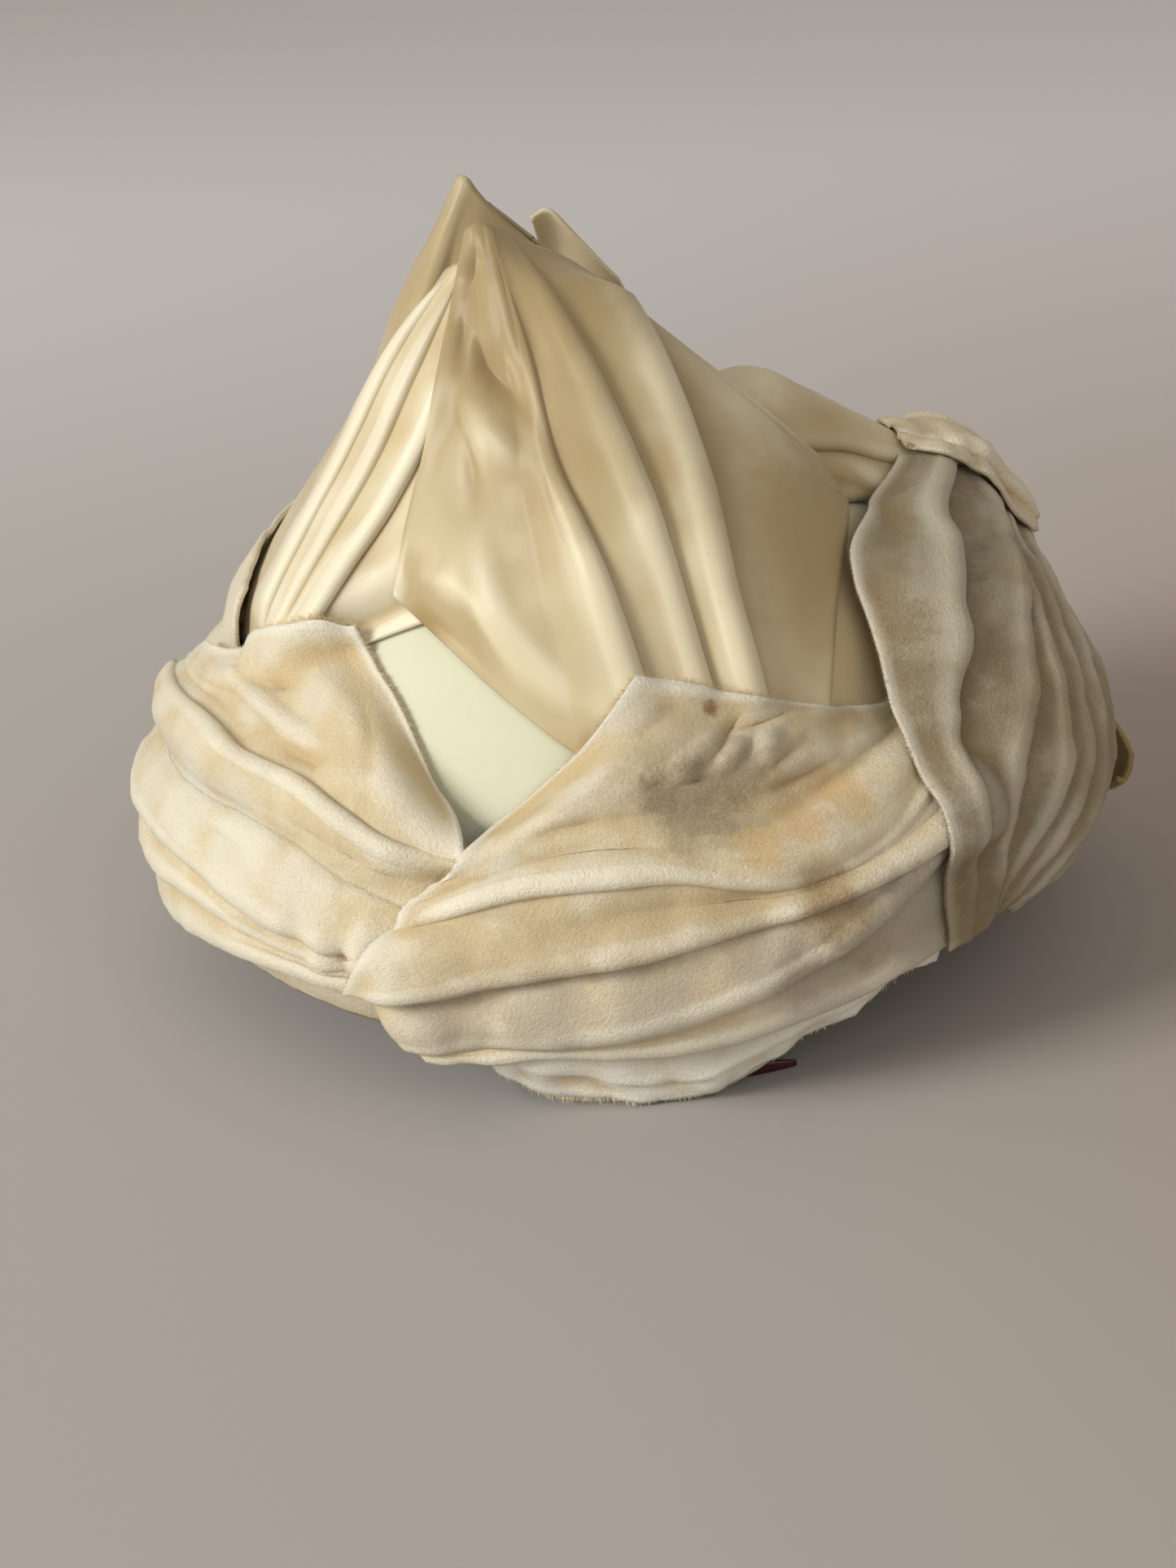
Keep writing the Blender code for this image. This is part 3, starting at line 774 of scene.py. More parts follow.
class Loom:
    """Makes the cloth pieces and remembers what is already laid.

    Its gaps, heights, reaches and depths are in millimetres, and its shares run from 0 to 1.
    """

    ease = 0.3
    reach = 26.0
    base_rows = 8
    spare_rows = 2
    lap_share = 0.46
    least_lap = 0.12
    end_reach = 12.0
    fade_share = 0.22
    flatness = 0.65
    relief_passes = 14
    relief_height = 1.3
    edge_reach = 3.2
    blade_gap = 0.11
    blade_width = 0.16
    hug_reach = 16.0
    least_facing = 0.15
    full_facing = 0.60
    hug_gap = 0.9
    hug_depth = 14.0
    crease_start = 0.66
    full_crease_lap = 1.2
    ridge_start = 0.7
    full_ridge_lap = 2.0
    fine_crumple = 0.5
    fine_crumple_scale = 2.3
    pile_depth = 0.3
    pile_lean_along = (-0.5, 0.5)
    pile_lean_up = (-0.25, 0.5)
    pile_lengths = (0.5, 1.3)
    wide_lift = 2
    last_lift = (1, 2)
    normal_passes = 3
    inward_passes = 6
    drop_passes = 8
    near_passes = 4
    clear_passes = 2
    least_width = 1.0
    eye = np.array([-6.5, -556.3, 258.8])

    def __init__(self) -> None:
        """Start with nothing laid."""
        self.laid: list[bpy.types.Object] = []
        self.materials: dict[str, bpy.types.Material] = {}
        self.collection = bpy.context.scene.collection

    def material(self, finish: Finish) -> bpy.types.Material:
        """The material of a finish, made once."""
        if finish.name not in self.materials:
            self.materials[finish.name] = finish.dress()
        return self.materials[finish.name]

    def add(self, name: str, work: bmesh.types.BMesh, finish: Finish) -> bpy.types.Object:
        """Turn a bmesh into an object with a finish."""
        mesh = bpy.data.meshes.new(name)
        work.to_mesh(mesh)
        work.free()
        mesh.materials.append(self.material(finish))
        mesh.shade_smooth()
        piece = bpy.data.objects.new(name, mesh)
        self.collection.objects.link(piece)
        return piece

    def keep(self, piece: bpy.types.Object, slot: Slot, node: str) -> None:
        """Let a piece ride on the hat and hide the node that it replaces."""
        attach(piece, ROOT)
        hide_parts(node)

    def under(self) -> BVHTree:
        """Search tree over everything that is already laid, in millimetres."""
        places: list[Vector] = []
        faces: list[list[int]] = []
        depsgraph = bpy.context.evaluated_depsgraph_get()
        for piece in self.laid:
            mesh = piece.evaluated_get(depsgraph).to_mesh()
            first = len(places)
            places += [vertex.co / MM for vertex in mesh.vertices]
            faces += [[first + index for index in face.vertices] for face in mesh.polygons]
        return BVHTree.FromPolygons(places, faces)

    def rows(self, sheet: Sheet) -> list[tuple[int, float, float, float, float]]:
        """Rows of a cloth: fold, share of the panel, shift and height as shares of the lap, and crease."""
        rows: list[tuple[int, float, float, float, float]] = []
        last = len(sheet.folds) - 1
        for index, line in enumerate(sheet.folds):
            lapped = line.lap > 0.0
            if lapped:
                hidden = ROLL_HIDDEN_ROWS if index == 0 else 0
                for number, turn in enumerate(ROLL[hidden:], hidden):
                    crease = 1.0 if number <= ROLL_HIDDEN_ROWS else 0.0
                    rows.append((index, 0.0, turn.shift, turn.height, crease))
            if index == last:
                if not lapped:
                    rows.append((index, 0.0, 0.0, 0.0, 0.0))
                break
            valley = sheet.folds[index + 1].lap > 0.0
            for share in PANEL_SHARES if lapped else SMOOTH_SHARES:
                crease = (share - self.crease_start) / (1.0 - self.crease_start) if valley else 0.0
                slope = 1.0 - self.flatness * share - (1.0 - self.flatness) * float(blend_in(share))
                rows.append((index, share, 0.0, slope if lapped else 0.0, float(blend_in(crease))))
        return rows

    def outward(self, points: np.ndarray) -> np.ndarray:
        """Unit directions out of a cloth, softened."""
        across = unit(np.gradient(points, axis=0))
        normal = soften(np.cross(across, unit(np.gradient(points, axis=1))), self.normal_passes)
        if np.sum(normal * (points - np.array(FORM.middle))) < 0.0:
            normal = -normal
        return unit(normal)

    def settled(self, sheet: Sheet, lines: np.ndarray, tree: BVHTree) -> tuple[np.ndarray, np.ndarray]:
        """Lay the smooth form of a cloth, without its folds, on what is under it.

        Args:
            sheet: What the cloth is.
            lines: Its fold lines, as folds by stations by coordinates.
            tree: Everything that is already laid.

        Returns:
            Places and directions on an even grid, from just before the first fold to just past the last.
        """
        last = len(lines) - 1
        rows = np.arange(-self.spare_rows, last * self.base_rows + self.spare_rows + 1) / self.base_rows
        points = across_folds(lines, np.repeat(rows[:, None], lines.shape[1], axis=1))
        if sheet.on_velvet:
            points = FORM.on_velvet(points)
        normal = self.outward(points)
        if not sheet.loose:
            points = self.lifted(sheet, self.hugged(sheet, points, normal, tree), normal, tree)
        return points, normal

    def buried(self, points: np.ndarray, normal: np.ndarray, tree: BVHTree) -> np.ndarray:
        """How far each place has to move out to clear everything under it."""
        lift = np.zeros(points.shape[:2])
        for cell in np.ndindex(lift.shape):
            way = Vector(normal[cell])
            found, _, _, off = tree.ray_cast(Vector(points[cell]) + way * self.reach, -way, 2.0 * self.reach)
            if found is not None:
                lift[cell] = max(0.0, self.reach - off + self.ease)
        return lift

    def lifted(self, sheet: Sheet, points: np.ndarray, normal: np.ndarray, tree: BVHTree) -> np.ndarray:
        """Move a smooth form out along its directions until it clears everything under it."""
        wide = (self.wide_lift, sheet.kind.settle_passes)
        for widen, passes in (wide, wide, self.last_lift):
            lift = self.buried(points, normal, tree)
            points = points + normal * soften(spread(lift, widen), passes)[..., None]
        return points

    def near_side(
        self, points: np.ndarray, sides: tuple[Side, ...], reach: float, spare: int = 0
    ) -> np.ndarray:
        """How near each place lies to some sides of a cloth: 1 on a side, and 0 beyond the reach."""
        far = run_lengths(points)
        off = {
            Side.FIRST: np.linalg.norm(points - points[spare], axis=-1),
            Side.LAST: np.linalg.norm(points - points[-1 - spare], axis=-1),
            Side.START: far,
            Side.END: far[:, -1:] - far,
        }
        near = np.zeros(points.shape[:2])
        for side in sides:
            near = np.maximum(near, 1.0 - blend_in(off[side] / reach))
        return near

    def hugged(self, sheet: Sheet, points: np.ndarray, normal: np.ndarray, tree: BVHTree) -> np.ndarray:
        """Let the laid sides of a cloth down on what is under them."""
        if not sheet.laid_sides:
            return points
        near = self.near_side(points, sheet.laid_sides, self.hug_reach, self.spare_rows)
        sight = unit(points - self.eye)
        facing = -np.sum(sight * normal, axis=-1, keepdims=True)
        share = blend_in((facing - self.least_facing) / (self.full_facing - self.least_facing))
        inward = unit(soften(sight * share - normal * (1.0 - share), self.inward_passes))
        drop = np.zeros(points.shape[:2])
        for cell in zip(*np.nonzero(near > 0.0)):
            found, _, _, off = tree.ray_cast(Vector(points[cell]), Vector(inward[cell]), self.hug_depth)
            if found is not None:
                drop[cell] = max(0.0, off - self.hug_gap)
        drop = soften(drop, self.drop_passes) * soften(near, self.near_passes)
        return points + inward * drop[..., None]

    def crumpled(self, sheet: Sheet, points: np.ndarray) -> np.ndarray:
        """Small uneven rises of a cloth, in millimetres."""
        rise = np.zeros(points.shape[:2])
        for cell in np.ndindex(rise.shape):
            place = Vector(points[cell]) / sheet.kind.crumple_length + Vector((sheet.seed, 0.0, 0.0))
            fine = noise.noise(place * self.fine_crumple_scale)
            rise[cell] = noise.noise(place) + self.fine_crumple * fine
        return rise * sheet.kind.crumple

    def dented(self, sheet: Sheet, places: np.ndarray, widths: np.ndarray, length: float) -> np.ndarray:
        """Rises of a cloth from its dents and swells, in millimetres."""
        shares = np.linspace(0.0, 1.0, places.shape[1])[None, :]
        rise = np.zeros(places.shape)
        for dent in sheet.dents:
            far = (shares - dent.share) * length
            wide = (places - dent.fold) * widths
            lean = math.radians(dent.lean)
            first = far * math.cos(lean) + wide * math.sin(lean)
            second = wide * math.cos(lean) - far * math.sin(lean)
            rise += dent.rise * np.exp(-((first / dent.long) ** 2) - (second / dent.wide) ** 2)
        return rise

    def fading(self, sheet: Sheet, marks: np.ndarray) -> np.ndarray:
        """Share of each lap that is left near those ends of the folds where they run flat."""
        far = run_lengths(marks)
        share = np.ones(far.shape)
        if Side.END in sheet.flat_ends:
            share = share * blend_in((far[:, -1:] - far) / self.end_reach)
        if Side.START in sheet.flat_ends:
            share = share * blend_in(far / self.end_reach)
        return share

    def laps(self, sheet: Sheet, marks: np.ndarray, gaps: np.ndarray) -> np.ndarray:
        """How far the nose of each fold laps over.

        Args:
            sheet: What the cloth is.
            marks: The places of its fold lines.
            gaps: How far the nearer fold lies from each of those places.

        Returns:
            Folds by stations, in millimetres.
        """
        shares = np.linspace(0.0, 1.0, sheet.stations)
        lap, first, last = (
            np.array([[getattr(line, name)] for line in sheet.folds]) for name in ("lap", "first", "last")
        )
        lapped = blend_in((shares - first) / self.fade_share) * blend_in((last - shares) / self.fade_share)
        room = np.maximum(gaps - sheet.kind.lap_room, 0.0) * self.lap_share
        room = room * self.fading(sheet, marks) * lapped
        return np.maximum(np.minimum(lap, soften(room)), self.least_lap)

    def weave(self, sheet: Sheet) -> None:
        """Make one cloth and lay it over what is already there."""
        shares = np.linspace(0.0, 1.0, sheet.stations)
        lines = np.array([along_way(line.way, shares) for line in sheet.folds])
        marks = FORM.on_velvet(lines) if sheet.on_velvet else lines
        gaps = np.linalg.norm(np.diff(marks, axis=0), axis=-1)
        before = np.concatenate([gaps[:1], gaps])
        after = np.concatenate([gaps, gaps[-1:]])
        table = np.array(self.rows(sheet))
        index = table[:, 0].astype(int)
        share, shift, height, crease = (table[:, [column]] for column in range(1, 5))
        laps = self.laps(sheet, marks, np.minimum(before, after))[index]
        width = np.maximum(np.where(shift * laps < 0.0, before[index], after[index]), self.least_width)
        spare = self.spare_rows / self.base_rows
        places = index[:, None] + share + np.clip(shift * laps / width, -spare, spare)
        under = self.under()
        base, facing = self.settled(sheet, lines, under)
        points = across_folds(base, (places + spare) * self.base_rows)
        normal = unit(across_folds(facing, (places + spare) * self.base_rows))
        length = float(np.linalg.norm(np.diff(marks, axis=1), axis=-1).sum(axis=1).mean())
        uneven = self.crumpled(sheet, points) * self.fading(sheet, points)
        rise = height * laps * sheet.kind.loft + uneven + self.dented(sheet, places, width, length)
        points = points + normal * rise[..., None]
        if not sheet.loose:
            lift = soften(self.buried(points, normal, under), self.clear_passes)
            points = points + normal * lift[..., None]
        # The relief, crease, ridge and edge measures are masks for painted shade and painted highlights in
        # the finishes.
        relief = np.sum((points - soften(points, self.relief_passes)) * normal, axis=-1)
        relief = relief / (self.relief_height * sheet.kind.loft)
        ridge = blend_in((height - self.ridge_start) / (1.0 - self.ridge_start))
        piece = self.cloth(sheet, points, normal, {
            "crease": crease * blend_in(laps / self.full_crease_lap),
            "ridge": ridge * blend_in(laps / self.full_ridge_lap),
            "relief": np.clip(0.5 + 0.5 * relief, 0.0, 1.0),
            "edge": self.near_side(points, sheet.cut_sides, self.edge_reach),
        })
        self.fringe(sheet, points, normal)
        self.keep(piece, sheet.kind.slot, sheet.node)
        self.laid.append(piece)
        flat = sheet.cut.area or sheet.cut.width * sheet.cut.length
        share_of_cut = cloth_area(points) / flat
        LOG.info("%s: %d by %d, cloth %.2f of its cut", sheet.name, *points.shape[:2], share_of_cut)

    def fringe(self, sheet: Sheet, points: np.ndarray, normal: np.ndarray) -> None:
        """Add the short pile that stands out of a velvet's cut sides."""
        if not sheet.cut_sides:
            return
        chance = random.Random(sheet.name)
        corners: list[Vector] = []
        for side in sheet.cut_sides:
            edge, inner, up = {
                Side.FIRST: (points[0], points[1], normal[0]),
                Side.LAST: (points[-1], points[-2], normal[-1]),
                Side.START: (points[:, 0], points[:, 1], normal[:, 0]),
                Side.END: (points[:, -1], points[:, -2], normal[:, -1]),
            }[side]
            steps = np.linalg.norm(np.diff(edge, axis=0), axis=-1)
            for index, step in enumerate(steps):
                along = Vector(unit(edge[index + 1] - edge[index]))
                out = Vector(unit(edge[index] - inner[index]))
                lift = Vector(up[index])
                half = along * (0.5 * self.blade_width)
                for _ in range(int(step / self.blade_gap + chance.random())):
                    root = Vector(edge[index]) + along * (step * chance.random())
                    root += lift * (sheet.kind.wall * chance.random()) - out * self.pile_depth
                    lean = along * chance.uniform(*self.pile_lean_along)
                    lean += lift * chance.uniform(*self.pile_lean_up)
                    tip = root + (out + lean) * (sheet.kind.pile * chance.uniform(*self.pile_lengths))
                    corners += [root - half, root + half, tip]
        work = bmesh.new()
        for first in range(0, len(corners), 3):
            work.faces.new([work.verts.new(corner * MM) for corner in corners[first : first + 3]])
        piece = self.add(f"{sheet.name}_pile", work, sheet.kind.finish)
        self.keep(piece, sheet.kind.slot, sheet.node)

    def cloth(
        self, sheet: Sheet, points: np.ndarray, normal: np.ndarray, measures: dict[str, np.ndarray]
    ) -> bpy.types.Object:
        """Turn a grid of places into a cloth with a wall, a flat map and its measures.

        Args:
            sheet: What the cloth is.
            points: Its places, as rows by stations by coordinates.
            normal: Its directions outwards, in the same order.
            measures: Numbers that its finish reads, by name.

        Returns:
            The cloth's object.
        """
        rows, columns = points.shape[:2]
        work = bmesh.new()
        bmesh.ops.create_grid(work, x_segments=columns - 1, y_segments=rows - 1, size=1.0)
        work.verts.ensure_lookup_table()
        for vertex, point in zip(work.verts, points.reshape(-1, 3)):
            vertex.co = Vector(point) * MM
        for name in measures:
            work.verts.layers.float.new(name)
        work.verts.ensure_lookup_table()
        for name, values in measures.items():
            layer = work.verts.layers.float[name]
            for vertex, value in zip(work.verts, values.ravel()):
                vertex[layer] = float(value)
        far = run_lengths(points)
        wide = run_lengths(points.swapaxes(0, 1)).T
        flat = np.stack([far, wide], axis=-1).reshape(-1, 2) * MM * CM_PER_M
        lay_flat(work, lambda vertex: flat[vertex.index])
        work.normal_update()
        ways = normal.reshape(-1, 3)
        if sum(vertex.normal.dot(Vector(way)) for vertex, way in zip(work.verts, ways)) < 0.0:
            bmesh.ops.reverse_faces(work, faces=work.faces[:])
        piece = self.add(f"{sheet.name}_cloth", work, sheet.kind.finish)
        thicken(piece, sheet.kind.wall, 1.0)
        return piece


# Painted shade: golden in the front petal's hollow, browner on shaded parts near the peak and on the drape.
GOLD = (0.40, 0.25, 0.075)
PETAL_BLOTS = (
    Blot((-20, -31, 139), 12.0, GOLD, 0.40, 0.4),
    Blot((-15.5, -36, 132), 7.0, GOLD, 0.25),
    Blot((-26, -34, 136), 7.0, GOLD, 0.20),
    Blot((-34, -3, 141), 20.0, (0.56, 0.40, 0.17), 0.55),
    Blot((-19, 12, 152), 11.0, (0.58, 0.42, 0.20), 0.55),
    Blot((-14, -21, 152), 6.0, (0.52, 0.38, 0.18), 0.40),
    Blot((46, -8, 112), 16.0, (0.46, 0.34, 0.17), 0.50, 0.5),
)
UMBER = (0.43, 0.325, 0.165)
SHADE_BLOTS = (
    Blot((-12, -25, 150), 36.0, UMBER, 0.95, 0.3),
    Blot((-6, -46, 121), 26.0, UMBER, 0.60),
    Blot((42, -40, 98), 34.0, UMBER, 0.95, 0.3),
    Blot((-25, 13, 148), 30.0, UMBER, 0.80, 0.3),
)
PETAL_FINISH = SatinFinish("petal satin", blots=PETAL_BLOTS)
SHADED_SATIN = SatinFinish(
    "shaded petal satin", colour=(0.59, 0.495, 0.305), shade=(0.40, 0.28, 0.11), hollow_shade=(0.15, 0.08, 0.022),
    pale=(0.80, 0.73, 0.53), depth=0.7, blots=PETAL_BLOTS + SHADE_BLOTS,
)
# The crown's blot paints warm shade over its right side.
CROWN_FINISH = SatinFinish(
    "crown satin", colour=(0.73, 0.73, 0.58), shade=(0.69, 0.69, 0.52), pale=(0.75, 0.75, 0.61), depth=0.0,
    roughness=0.55, weave=0.35, sheen=0.15, blots=(Blot((50, -46, 82), 38.0, (0.71, 0.57, 0.335), 1.0, 0.2),),
)
PAINTED_SHEEN = (0.80, 0.775, 0.66)
DULL = (0.50, 0.45, 0.365)
STAIN = (0.27, 0.21, 0.125)
RUST = (0.28, 0.10, 0.02)
AMBER = (0.60, 0.38, 0.13)
BAND_HOLLOW_SHADE = (0.29, 0.225, 0.13)
TAN = (0.51, 0.40, 0.23)


def patches(colour: Colour, *rows: tuple[float, float, float, float]) -> tuple[Blot, ...]:
    """Ragged patches of the velvet, from rows of their turn, rise, reach and strength."""
    made: list[Blot] = []
    for turn, rise, reach, strength in rows:
        place = FORM.on_velvet(np.array([turn, rise, PATCH_STAND]))
        made.append(Blot(tuple(place.tolist()), reach, colour, strength, PATCH_RAGGED))
    return tuple(made)


VELVET_BLOTS = (
    *patches(
        TAN, (-21, 35, 13, 0.7), (-10, 39, 14, 0.7), (1, 41, 14, 0.7), (11, 43, 13, 0.7), (20, 46, 11, 0.7),
    ),
    # Painted shade in the hollow between the front leaf and the band near the gather.
    *patches(
        BAND_HOLLOW_SHADE, (18, 33, 12, 0.8), (24, 36, 13, 0.8), (30, 40, 13, 0.8), (33, 32, 12, 0.8), (38, 38, 12, 0.8),
    ),
    # Painted sheen on the left band and the left leaf.
    *patches(
        PAINTED_SHEEN, (-84, 79, 14, 0.7), (-72, 80, 11, 0.7), (-92, 70, 15, 0.8), (-76, 66, 11, 0.7),
        (-62, 63, 10, 0.7), (-52, 61, 9, 0.5), (-62, 55, 13, 0.8), (-50, 51, 13, 0.8),
        (-74, 54, 13, 0.6), (-40, 46, 10, 0.6), (-57, 74, 7, 0.6), (-47, 79, 8, 0.4),
    ),
    *patches(
        DULL, (-22, 26, 13, 0.62), (-10, 28, 13, 0.62), (2, 31, 13, 0.62), (14, 36, 13, 0.62),
        (27, 42, 13, 0.62), (36, 46, 13, 0.62), (20, 26, 12, 0.62), (33, 34, 14, 0.62),
    ),
    # Painted sheen on the hem and along the front leaf's lip.
    *patches(
        PAINTED_SHEEN, (-14, 8, 14, 0.7), (-4, 7, 14, 0.7), (8, 8, 14, 0.7), (20, 14, 12, 0.6), (32, 22, 12, 0.5),
        (-14, 53, 7, 0.5), (-4, 54, 7, 0.5), (24, 55, 9, 0.4),
    ),
    Blot((16, -88, 68), 21.0, (0.42, 0.34, 0.21), 0.58, 0.5),
    Blot((14, -90, 65), 12.0, STAIN, 0.72, 0.8),
    Blot((22, -86, 69), 9.0, STAIN, 0.50, 0.9),
    Blot((6, -90, 67), 6.0, STAIN, 0.62, 0.6),
    Blot((33, -81, 67), 10.0, (0.40, 0.29, 0.16), 0.45, 0.7),
    # Painted shade: orange in the hollow above the front leaf's lip and dark brown in the hollow between the
    # front leaf and the band.
    Blot((25, -95, 58), 7.0, AMBER, 0.60, 0.5),
    Blot((33, -90, 60), 7.5, AMBER, 0.60, 0.5),
    Blot((42, -84, 62), 8.0, AMBER, 0.60, 0.5),
    Blot((37, -95, 44), 10.0, (0.30, 0.18, 0.065), 0.70, 0.5),
    Blot((18, -77, 78.5), 2.3, RUST, 0.85, 0.5),
    Blot((8, -97, 26), 1.6, RUST, 0.8, 0.3),
    Blot((57, -80, 50), 1.6, (0.20, 0.12, 0.05), 0.8, 0.3),
)
LEAF_BROWN = (0.235, 0.165, 0.07)
# Darker brown patches over the right leaf.
LEAF_BLOTS = (
    Blot((61, -86, 38), 17.0, LEAF_BROWN, 0.60),
    Blot((70, -76, 30), 16.0, LEAF_BROWN, 0.60),
    Blot((84, -50, 63), 22.0, LEAF_BROWN, 0.50),
    Blot((92, -46, 45), 20.0, LEAF_BROWN, 0.60),
    Blot((104, -28, 50), 20.0, LEAF_BROWN, 0.60),
    Blot((90, -30, 84), 18.0, LEAF_BROWN, 0.50),
)
VELVET_FINISH = VelvetFinish("velvet", blots=VELVET_BLOTS)
SHADED_VELVET = VelvetFinish(
    "shaded velvet", cream=(0.28, 0.228, 0.138), white=(0.48, 0.445, 0.345), tan=(0.265, 0.175, 0.07),
    fold=(0.66, 0.61, 0.48), hollow_shade=(0.08, 0.04, 0.01), rim=(0.74, 0.70, 0.58), nap=6.0, sheen=0.15,
    blots=LEAF_BLOTS,
)
# Painted shade: the knot's velvet is a darker copy of the velvet for its shaded place.
SHADED_KNOT_VELVET = VelvetFinish(
    "knot velvet", cream=(0.66, 0.545, 0.35), white=(0.85, 0.80, 0.65), tan=(0.58, 0.43, 0.22),
    fold=(0.86, 0.80, 0.65), hollow_shade=(0.14, 0.07, 0.02), rim=(0.70, 0.67, 0.57), nap=5.0, sheen=0.25,
)
# Painted shade: the right tip's velvet is a darker copy of the velvet, and browner.
SHADED_BROWN_VELVET = VelvetFinish(
    "shaded_brown velvet", cream=(0.38, 0.255, 0.10), white=(0.54, 0.40, 0.20), tan=(0.30, 0.185, 0.065),
    fold=(0.58, 0.44, 0.23), hollow_shade=(0.10, 0.05, 0.012), rim=(0.50, 0.40, 0.25), nap=8.0, sheen=0.2,
)
# Painted light: the hem's velvet is a paler copy of the velvet, lit as if by light from below.
LIT_HEM_VELVET = VelvetFinish(
    "pale velvet", cream=(0.86, 0.78, 0.60), white=(0.94, 0.92, 0.83), tan=(0.78, 0.62, 0.40),
    fold=(0.93, 0.90, 0.80), nap=6.0, whiteness=0.9,
)

SATIN = ClothKind(
    wall=0.8, crumple=0.45, crumple_length=21.0, slot=Slot.PETAL, finish=PETAL_FINISH, settle_passes=10,
    loft=0.6,
)
SHADY_SATIN = replace(SATIN, loft=0.7, finish=SHADED_SATIN)
VELVET = ClothKind(
    wall=1.2, crumple=0.5, crumple_length=9.0, slot=Slot.VELVET, finish=VELVET_FINISH, pile=1.3,
)
# The hem's kind, with its velvet of painted light.
LIT_HEM = replace(VELVET, crumple=0.6, crumple_length=6.0, finish=LIT_HEM_VELVET)
SHADED = replace(VELVET, crumple_length=8.0, finish=SHADED_VELVET, pile=1.0)
KNOTTED = replace(SHADED, crumple_length=7.0, finish=SHADED_KNOT_VELVET)
# The right tip's kind, with its darker, browner velvet of painted shade.
SHADED_BROWN = replace(KNOTTED, finish=SHADED_BROWN_VELVET)


@dataclass(frozen=True)
class Crown:
    """The stiff domed shell covered in pale satin."""

    wall: float = 2.0
    steps: int = 96
    profile_rows: int = 22
    least_skirt: float = 2.0
    merge_gap: float = 0.001
    map_lean: float = 60.0

    def profile(self) -> list[tuple[float, float]]:
        """Reach as a share of the opening, and rise, from the rim up to the top."""
        rows = [(1.0, 0.0), (1.0, 0.5 * FORM.skirt), (1.0, FORM.skirt)]
        for row in range(1, self.profile_rows + 1):
            slope = math.sin(0.5 * math.pi * row / self.profile_rows)
            rise = FORM.skirt + (FORM.crown_height - FORM.skirt) * slope
            rows.append((FORM.narrowing(rise), rise))
        return rows

    def placed(self, point: Vector) -> Vector:
        """The place on the oval crown, with its arched rim, of a point on the round one."""
        turn = math.degrees(math.atan2(point.x, -point.y))
        rim = FORM.rim_rise(turn)
        top = max(FORM.skirt, rim + self.least_skirt)
        if point.z <= FORM.skirt:
            rise = rim + (top - rim) * point.z / FORM.skirt
        else:
            rise = top + (FORM.crown_height - top) * (point.z - FORM.skirt) / (FORM.crown_height - FORM.skirt)
        reach = FORM.narrowing(rise)
        across = FORM.half_width * reach * math.sin(math.radians(turn))
        return Vector((across, -FORM.half_depth * reach * math.cos(math.radians(turn)), rise))

    def flat(self, vertex: bmesh.types.BMVert) -> tuple[float, float]:
        """The place of a corner on the flat satin, seen from the front and leaning back."""
        place = vertex.co
        return place.x * CM_PER_M, place.z * CM_PER_M + place.y * self.map_lean

    def build(self, loom: Loom) -> None:
        """Spin the profile, stretch it to the oval and arch the rim."""
        work = bmesh.new()
        chain = [work.verts.new((reach, 0.0, rise)) for reach, rise in self.profile()]
        edges = [work.edges.new(pair) for pair in zip(chain, chain[1:])]
        bmesh.ops.spin(
            work, geom=chain + edges, cent=(0, 0, 0), axis=(0, 0, 1), angle=2 * math.pi,
            steps=self.steps, use_merge=True, use_duplicate=False,
        )
        bmesh.ops.remove_doubles(work, verts=work.verts[:], dist=self.merge_gap)
        for vertex in work.verts:
            vertex.co = self.placed(vertex.co) * MM
        bmesh.ops.recalc_face_normals(work, faces=work.faces[:])
        lay_flat(work, self.flat)
        piece = loom.add("crown_shell", work, CROWN_FINISH)
        thicken(piece, self.wall, -1.0)
        loom.keep(piece, Slot.CROWN, "crown")
        loom.laid.append(piece)
        LOG.info("crown shell")


class Draping:
    """A group of cloths that are laid one after another."""

    def sheets(self) -> tuple[Sheet, ...]:
        """The cloths, in the order in which they are laid."""
        raise NotImplementedError

    def build(self, loom: Loom) -> None:
        """Lay the cloths."""
        for sheet in self.sheets():
            loom.weave(sheet)


